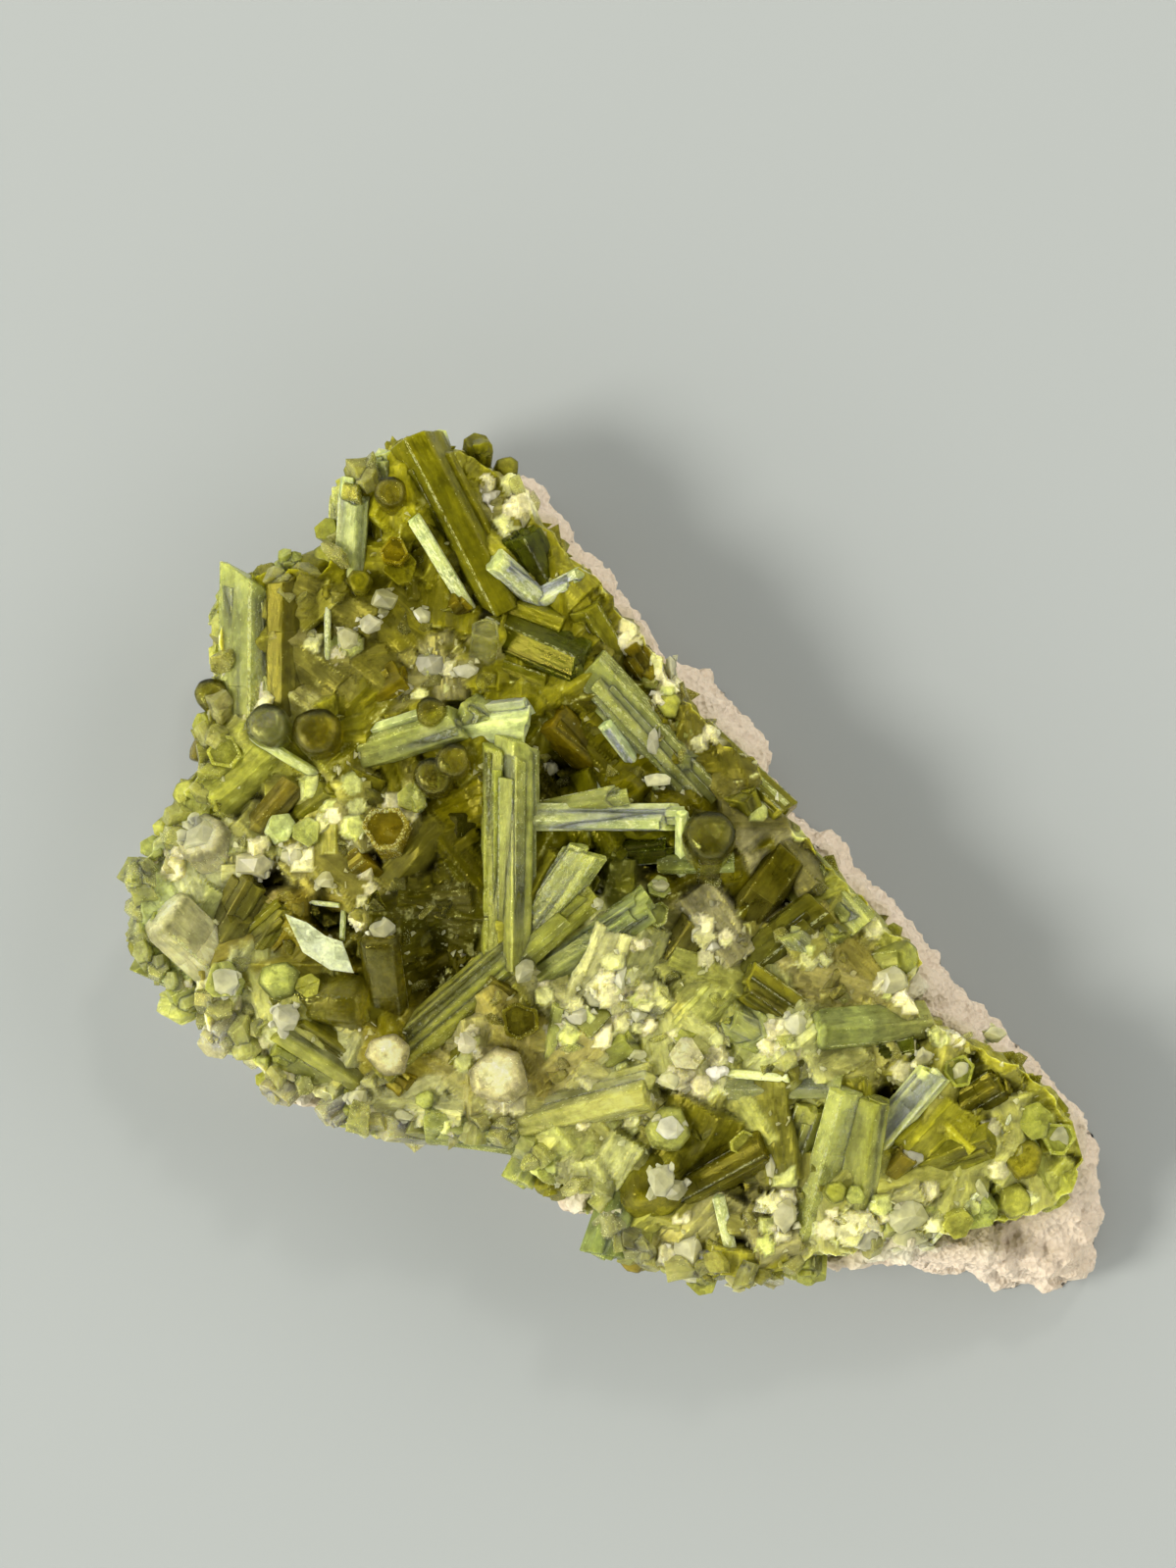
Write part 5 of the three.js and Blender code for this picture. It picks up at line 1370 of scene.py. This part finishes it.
def small_prism(name, seed, end):
    """A stubby six-sided prism of unit size, standing on its foot, for the scatter."""
    rng = np.random.default_rng(seed)
    sides = 6
    angle = np.arange(sides) * 2 * np.pi / sides + 0.12 * rng.standard_normal(sides)
    shape = 1 + 0.12 * rng.standard_normal(sides)
    levels = {"flat": [(0, 1), (0.55, 0.97), (0.93, 1), (1.0, 0.86)],
              "dome": [(0, 1), (0.6, 1), (0.85, 0.85), (1.0, 0.4)]}[end]
    slope = 0.16 * rng.standard_normal() if end == "flat" else 0.0
    vertices, rings = [], []
    for i, (z, share) in enumerate(levels):
        rings.append(list(range(i * sides, (i + 1) * sides)))
        for k in range(sides):
            x, y = share * shape[k] * math.cos(angle[k]), share * shape[k] * math.sin(angle[k])
            vertices.append((0.5 * x, 0.5 * y, z - 0.3 + (slope * x if i > 1 else 0)))
    faces = [tuple(reversed(rings[0])), tuple(rings[-1])]
    for lower, upper in zip(rings, rings[1:]):
        faces += wall(lower, upper)
    return with_grain(plain_object(name, vertices, faces))


def stone(seed, points=13):
    """A faceted grain of about unit radius: the hull of a few points round a ball."""
    rng = np.random.default_rng(seed)
    spread = rng.standard_normal((points, 3))
    spread /= np.linalg.norm(spread, axis=1)[:, None]
    spread *= rng.uniform(0.75, 1.1, (points, 1))
    mesh = bmesh.new()
    made = [mesh.verts.new(p) for p in spread]
    hull = bmesh.ops.convex_hull(mesh, input=made)
    loose = {g for g in hull["geom_interior"] + hull["geom_unused"] if isinstance(g, bmesh.types.BMVert)}
    bmesh.ops.delete(mesh, geom=list(loose), context="VERTS")
    mesh.verts.ensure_lookup_table()
    mesh.verts.index_update()
    vertices = [tuple(v.co) for v in mesh.verts]
    faces = [tuple(v.index for v in f.verts) for f in mesh.faces]
    mesh.free()
    return vertices, faces


def scatter_tree(name, shapes, settings):
    """Geometry Nodes that strew shapes over a mesh where it faces up or sideways. Settings:
    brightness range, the tint that some take on and how much of it, frost range, finish, and the
    attribute that thins them out."""
    tree = bpy.data.node_groups.new(name, "GeometryNodeTree")
    sockets = tree.interface
    sockets.new_socket("Geometry", in_out="INPUT", socket_type="NodeSocketGeometry")
    for label, kind in (("Density", "Float"), ("Seed", "Int"), ("Smallest", "Vector"),
                        ("Largest", "Vector"), ("Least tilt", "Float"), ("Most tilt", "Float"),
                        ("Sink", "Float")):
        sockets.new_socket(label, in_out="INPUT", socket_type=f"NodeSocket{kind}")
    sockets.new_socket("Geometry", in_out="OUTPUT", socket_type="NodeSocketGeometry")
    given = add(tree, "NodeGroupInput").node.outputs

    def draw(kind, low, high, offset):
        """A random value for each copy, between low and high."""
        first, out = {"FLOAT_VECTOR": (0, 0), "FLOAT": (2, 1), "INT": (4, 2)}[kind]
        seed = add(tree, "ShaderNodeMath", {0: given["Seed"], 1: float(offset)}, operation="ADD")
        return add(tree, "FunctionNodeRandomValue", {first: low, first + 1: high, "Seed": seed},
                   out, data_type=kind)

    normal = add(tree, "GeometryNodeInputNormal")
    height = add(tree, "ShaderNodeSeparateXYZ", {"Vector": normal}, out="Z")
    outside = add(tree, "FunctionNodeCompare", {0: height, 1: -0.3}, data_type="FLOAT",
                  operation="GREATER_THAN")
    density = given["Density"]
    if "thinned_by" in settings:
        patch = add(tree, "GeometryNodeInputNamedAttribute", {"Name": settings["thinned_by"]},
                    data_type="FLOAT")
        density = add(tree, "ShaderNodeMath", {0: density, 1: patch}, operation="MULTIPLY")
    points = add(tree, "GeometryNodeDistributePointsOnFaces", {
        "Mesh": given["Geometry"], "Selection": outside, "Density": density, "Seed": given["Seed"]})
    sunk = add(tree, "ShaderNodeMath", {0: given["Sink"], 1: -1.0}, operation="MULTIPLY")
    down = add(tree, "ShaderNodeCombineXYZ", {"Z": sunk})
    points = add(tree, "GeometryNodeSetPosition", {"Geometry": points, "Offset": down})
    infos = [add(tree, "GeometryNodeObjectInfo", {"Object": shape, "As Instance": True},
                 out="Geometry") for shape in shapes]
    joined = add(tree, "GeometryNodeJoinGeometry", {0: infos})
    tilt = draw("FLOAT", given["Least tilt"], given["Most tilt"], 11)
    rotation = add(tree, "ShaderNodeCombineXYZ", {"X": tilt, "Z": draw("FLOAT", 0.0, 2 * math.pi, 12)})
    placed = add(tree, "GeometryNodeInstanceOnPoints", {
        "Points": points, "Instance": joined, "Pick Instance": True,
        "Instance Index": draw("INT", 0, len(shapes) - 1, 13), "Rotation": rotation,
        "Scale": draw("FLOAT_VECTOR", given["Smallest"], given["Largest"], 14)})
    own = add(tree, "GeometryNodeInputNamedAttribute", {"Name": "tone"}, data_type="FLOAT_COLOR")
    lit = add(tree, "ShaderNodeVectorMath", {0: own, "Scale": draw("FLOAT", *settings["light"], 15)},
              operation="SCALE")
    paler = add(tree, "ShaderNodeMix", {"Factor": draw("FLOAT", *settings["pale_share"], 16), 6: lit,
                                        7: linear(settings["pale"])}, out=2, data_type="RGBA")
    toned = add(tree, "GeometryNodeStoreNamedAttribute",
                {"Geometry": placed, "Name": "tone", "Value": paler},
                data_type="FLOAT_COLOR", domain="INSTANCE")
    frosted = add(tree, "GeometryNodeStoreNamedAttribute",
                  {"Geometry": toned, "Name": "frost", "Value": draw("FLOAT", *settings["frost"], 17)},
                  data_type="FLOAT", domain="INSTANCE")
    real = add(tree, "GeometryNodeRealizeInstances", {"Geometry": frosted})
    finish = add(tree, "GeometryNodeSetMaterial", {"Geometry": real, "Material": settings["finish"]})
    add(tree, "NodeGroupOutput", {0: finish})
    return tree


def strew(name, ground, shapes, values, settings):
    """Strews copies of the shapes over the ground's mesh and returns them as one plain mesh."""
    tree = scatter_tree(name, shapes, settings)
    obj = linked(name, ground.data.copy())
    modifier = obj.modifiers.new("scatter", "NODES")
    modifier.node_group = tree
    for item in tree.interface.items_tree:
        if item.in_out == "INPUT" and item.name in values:
            modifier[item.identifier] = values[item.name]
    settle(obj)
    for shape in shapes:
        bpy.data.objects.remove(shape)
    return obj


def build_small_prisms(ground, finish):
    """Loose facets on the ground between the prisms, and stubs on the free flanks."""
    ends = ["flat", "flat", "dome", "flat", "flat", "flat"]
    tints = {"light": (1.1, 1.9), "pale": "#c6c670", "pale_share": (0.0, 0.3), "frost": (0.0, 0.6),
             "finish": finish}
    shapes = [with_grain(plain_object(f"facet_{i}", *stone(640 + i, 9))) for i in range(6)]
    facets = strew("ground_facets", ground, shapes, {
        "Density": 0.15e6, "Seed": 4, "Smallest": (0.3 * MM, 0.3 * MM, 0.2 * MM),
        "Largest": (0.8 * MM, 0.8 * MM, 0.45 * MM), "Least tilt": math.radians(-25),
        "Most tilt": math.radians(25), "Sink": 0.05 * MM,
    }, tints)
    shapes = [small_prism(f"flank_{i}", 130 + i, end) for i, end in enumerate(ends)]
    flanks = strew("flank_stubs", ground, shapes, {
        "Density": 0.5e6, "Seed": 9, "Smallest": (0.8 * MM, 0.8 * MM, 0.7 * MM),
        "Largest": (1.7 * MM, 1.7 * MM, 1.3 * MM), "Least tilt": math.radians(20),
        "Most tilt": math.radians(100), "Sink": 0.0,
    }, tints | {"thinned_by": "flank", "pale": "#d2d28a", "pale_share": (0.2, 0.9)})
    return facets, flanks


def build_crumbs(ground, finish):
    """Sugary crumbs of quartz caught between the crystals, thickest round the larger grains."""
    shapes = [plain_object(f"crumb_{i}", *stone(700 + i, 9)) for i in range(5)]
    return strew("sugary_crumbs", ground, shapes, {
        "Density": 2e6, "Seed": 5, "Smallest": (0.1 * MM,) * 3, "Largest": (0.28 * MM,) * 3,
        "Least tilt": 0.0, "Most tilt": 3.0, "Sink": 0.0,
    }, {"light": (1.5, 2.2), "pale": "#ccca8c", "pale_share": (0.0, 0.8), "frost": (0.0, 0.2),
        "finish": finish, "thinned_by": "sugar"})


def matrix_slab():
    """The slab that the crust lies on: lumpy sides that lean in, and a top that follows the bed."""
    walk = walk_edge(QUARTZ_EDGE, EDGE_PITCH)
    out = outward(walk)
    mesh = bmesh.new()
    rings = []
    for z in np.linspace(0, SLAB_HEIGHT, round(SLAB_HEIGHT / EDGE_PITCH) + 1):
        ring = []
        rise = min(z / BED_HEIGHT, 1)
        for (x, y, lean), (ox, oy) in zip(walk, out):
            lump = 0.45 * math.sin(2.3 * x + 1.9 * z) * math.cos(2.1 * y - 1.3 * z)
            # The side bends in towards the top, a little further than its edge says.
            step = lump - max(lean, 0) * rise * rise * 1.3
            ring.append(mesh.verts.new(place(x + ox * step, y + oy * step, z)))
        rings.append(ring)
    for lower, upper in zip(rings, rings[1:]):
        for quad in wall(lower, upper):
            mesh.faces.new(quad)
    mesh.faces.new(rings[0])
    mesh.faces.new(rings[-1])
    bmesh.ops.recalc_face_normals(mesh, faces=mesh.faces)
    slab = object_from("sugary_matrix", mesh)
    boolean(slab, bed_block("top", offset=-CRUST_DEPTH, depth=0, pitch=1.0), "INTERSECT")
    return slab


def quartz_lump(number, x, y, h, a, b):
    """A bulging lump that rises from the slab through the crust."""
    half = (h + CRUST_DEPTH + LUMP_ROOT) / 2
    lump = bmesh.new()
    bmesh.ops.create_icosphere(lump, subdivisions=3, radius=1)
    for v in lump.verts:
        u, w, t = v.co
        swell = 1 + 0.2 * math.sin(5 * u + number) * math.cos(4 * w + 3 * t)
        v.co = place(x + u * a * swell, y + w * b * swell, bed(x, y) + h - half + t * half * swell)
    return object_from("lump", lump)


def roughen(mesh):
    """Makes grains of about 1 and 0.5 mm stand out of the matrix like sugar, above its flat cut."""
    normals = [v.normal.copy() for v in mesh.vertices]
    for v, normal in zip(mesh.vertices, normals):
        at = v.co / MM
        coarse = noise.voronoi(at * 1.0 + Vector((0, 0, 3)))[0][0]
        small = noise.voronoi(at * 2.1)[0][0]
        rough = 0.45 * noise.noise(at * 0.6) + 0.28 - 0.7 * coarse**2 - 0.4 * small**2
        if v.co.z > ROUGH_FROM * MM:
            v.co += normal * rough * MM
        v.co.z = max(v.co.z, 0)
        if v.co.z < FLAT_UNDER * MM:
            v.co.z = 0


def build_matrix(finish):
    """The slab of sugary quartz with its flat cut, its lumpy sides and the lumps that rise
    through the crust."""
    slab = matrix_slab()
    for number, row in enumerate(QUARTZ_LUMPS):
        boolean(slab, quartz_lump(number, *row), "UNION")
    remesh = slab.modifiers.new("even", "REMESH")
    remesh.mode, remesh.voxel_size, remesh.use_smooth_shade = "VOXEL", MATRIX_PITCH * MM, True
    settle(slab)
    mesh = slab.data
    roughen(mesh)
    x, y, z = layout_points(mesh).T
    above_bed = z - bed(x, y)
    store(mesh, "clean", "FLOAT", np.clip((above_bed + 0.8) / 1.2, 0, 1))
    beside = np.exp(-((nearest(x, y, walk_edge(CRUST_EDGE, EDGE_PITCH)) / STAIN_REACH) ** 2))
    high = np.clip((above_bed + 3.5) / 2.5, 0, 1)
    store(mesh, "stained", "FLOAT", STAIN_SHARE * beside * high)
    mesh.materials.clear()
    mesh.materials.append(finish)
    return slab


def build_grains(finish):
    """Milky quartz grains set between and on the crystals: a many-faced body each, with a few
    bits sunk in beside it."""
    grain_shapes = [stone(780 + i, 34) for i in range(10)]
    bit_shapes = [stone(800 + i) for i in range(12)]
    bodies = []
    for number, (x, y, h, a, b, c) in enumerate(QUARTZ_GRAINS.values()):
        rng = np.random.default_rng(900 + number)
        centre = np.array(place(x, y, bed(x, y) + h - 0.1)) / MM
        tone = np.array(linear("#cccba6")) * (1, 1, 0.8 + 0.4 * rng.random(), 1)
        tone[:3] *= rng.uniform(0.65, 1.15)
        ground = ground_tone(x, y)
        size = np.array([a, b, c])
        found = [(grain_shapes[rng.integers(len(grain_shapes))], 0.95, np.zeros(3))]
        for _bit in range(round(2 + 3 * rng.random())):
            turn = rng.uniform(0, 6)
            away = np.array([a * math.cos(turn), b * math.sin(turn), -0.2 * c]) * rng.uniform(0.6, 1.1)
            found.append((bit_shapes[rng.integers(len(bit_shapes))], rng.uniform(0.25, 0.5), away))
        for (vertices, faces), scale, away in found:
            spin = np.array(Matrix.Rotation(rng.uniform(0, 6), 3, rng.standard_normal(3).tolist()))
            shaped = (np.array(vertices) @ spin.T) * size * scale + away
            own = rng.uniform(0.45, 0.95)
            light = 1 + 0.14 * rng.standard_normal(len(vertices))
            toned = (own * tone + (1 - own) * ground)[None, :] * light[:, None]
            toned[:, 3] = 1
            bodies.append(Body((shaped + centre) * MM, faces, [False] * len(faces),
                               [0.0] * len(faces), np.clip(toned, 0, 1), shaped))
    return join_bodies("milky_grains", bodies, finish)


def build_plate(finish):
    """The thin frosted plate that catches the light."""
    count = len(BRIGHT_PLATE)
    top = [place(x, y, bed(x, y) + h) for x, y, h in BRIGHT_PLATE]
    low = [p - Vector((0, 0, PLATE_THICKNESS * MM)) for p in top]
    upper, lower = list(range(count)), list(range(count, 2 * count))
    faces = [tuple(reversed(upper)), tuple(lower), *wall(upper, lower)]
    tones = np.tile(linear("#b2ba96"), (2 * count, 1))
    points = np.array(top + low)
    body = Body(points, faces, [False] * len(faces), [0.2] * len(faces), tones, points / MM)
    return join_bodies("bright_plate", [body], finish)


def lay_floor():
    """A plain pale floor, just under the specimen."""
    mesh = bmesh.new()
    bmesh.ops.create_grid(mesh, x_segments=1, y_segments=1, size=1.5)
    floor = object_from("floor", mesh)
    material, tree = new_material("grey_paper")
    shader = add(tree, "ShaderNodeBsdfPrincipled", {"Base Color": linear("#8f9494"), "Roughness": 0.9})
    add(tree, "ShaderNodeOutputMaterial", {"Surface": shader})
    floor.data.materials.append(material)
    floor.location.z = -0.05 * MM


def light_room(scene):
    """A soft ring of light between a dark ceiling and the floor, brighter on the left, so that
    faces that look up stay clear of glare."""
    world = bpy.data.worlds.new("room")
    world.use_nodes = True
    tree = world.node_tree
    direction = add(tree, "ShaderNodeTexCoord", out="Generated")
    up = add(tree, "ShaderNodeSeparateXYZ", {"Vector": direction}, out="Z")
    ring = add(tree, "ShaderNodeMapRange",
               {"Value": up, "From Min": 0.40, "From Max": 0.88, "To Min": 2.4, "To Max": 0.10})
    side = add(tree, "ShaderNodeVectorMath", {0: direction, 1: (-0.95, -0.30, 0.0)}, out="Value",
               operation="DOT_PRODUCT")
    bias = add(tree, "ShaderNodeMapRange",
               {"Value": side, "From Min": -1.0, "From Max": 1.0, "To Min": 0.6, "To Max": 1.5})
    strength = add(tree, "ShaderNodeMath", {0: ring, 1: bias}, operation="MULTIPLY")
    background = tree.nodes["Background"]
    background.inputs["Color"].default_value = linear("#f2f1ea")
    tree.links.new(strength, background.inputs["Strength"])
    scene.world = world


def hang_lamps():
    """Three soft lamps aimed at the specimen: place, size, power and colour of each."""
    aim = place(0, 0, 8)
    for name, at, size, power, colour in (
        ("window", (-0.72, -0.12, 0.66), 0.32, 9.5, "#fffaf0"),
        ("skylight", (0.22, 0.62, 0.70), 0.12, 1.6, "#fffaf0"),
        ("fill", (0.60, 0.25, 0.40), 0.60, 2.4, "#fff8f0"),
    ):
        light = bpy.data.lights.new(name, "AREA")
        light.shape, light.size, light.energy = "DISK", size, power
        light.color = linear(colour)[:3]
        lamp = linked(name, light)
        lamp.location = at
        lamp.rotation_euler = (aim - Vector(at)).to_track_quat("-Z", "Y").to_euler()


def set_camera(scene):
    """A camera that looks straight down and sees the photograph's frame at the crystals'
    height."""
    frame_height = PHOTO_HEIGHT / PHOTO_SCALE * MM
    centre = place(PHOTO_WIDTH / 2 / PHOTO_SCALE - PHOTO_CENTRE[0],
                   PHOTO_CENTRE[1] - PHOTO_HEIGHT / 2 / PHOTO_SCALE, 0)
    camera = bpy.data.cameras.new("camera")
    camera.lens = 100
    camera.sensor_width = 36
    camera.clip_start, camera.clip_end = 0.01, 5
    distance = frame_height * camera.lens / camera.sensor_width
    eye = linked("camera", camera)
    eye.location = (centre.x, centre.y, PHOTO_LEVEL * MM + distance)
    scene.camera = eye


def stage_and_camera():
    """The floor, the light, the camera, and how far the light is followed through the crystals."""
    scene = bpy.context.scene
    lay_floor()
    light_room(scene)
    hang_lamps()
    set_camera(scene)
    scene.view_settings.view_transform = "Standard"
    scene.cycles.max_bounces = 16
    scene.cycles.transmission_bounces = 16
    scene.cycles.glossy_bounces = 6
    scene.cycles.diffuse_bounces = 4
    scene.cycles.volume_bounces = 0
    scene.cycles.caustics_reflective = True
    scene.cycles.caustics_refractive = True
    scene.cycles.blur_glossy = 0.5


def main():
    """Builds every piece, then the room round them."""
    finishes = {name: tourmaline(name, *values) for name, values in FINISH_VALUES.items()}
    quartz = milky_quartz()
    crystals = build_crystals(finishes)
    bed_piece = build_bed(groundmass())
    stubs = build_small_prisms(bed_piece, finishes["olive_tourmaline"])
    crumbs = build_crumbs(bed_piece, quartz)
    matrix = build_matrix(sugary_quartz())
    grains = build_grains(quartz)
    plate = build_plate(finishes["frosted_tourmaline"])
    for piece in (*crystals, *stubs, bed_piece, plate):
        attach(piece, "root")
        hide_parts("tourmaline_crystals")
    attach(matrix, "root")
    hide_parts("quartz_matrix")
    for piece in (grains, crumbs):
        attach(piece, "root")
    stage_and_camera()


main()
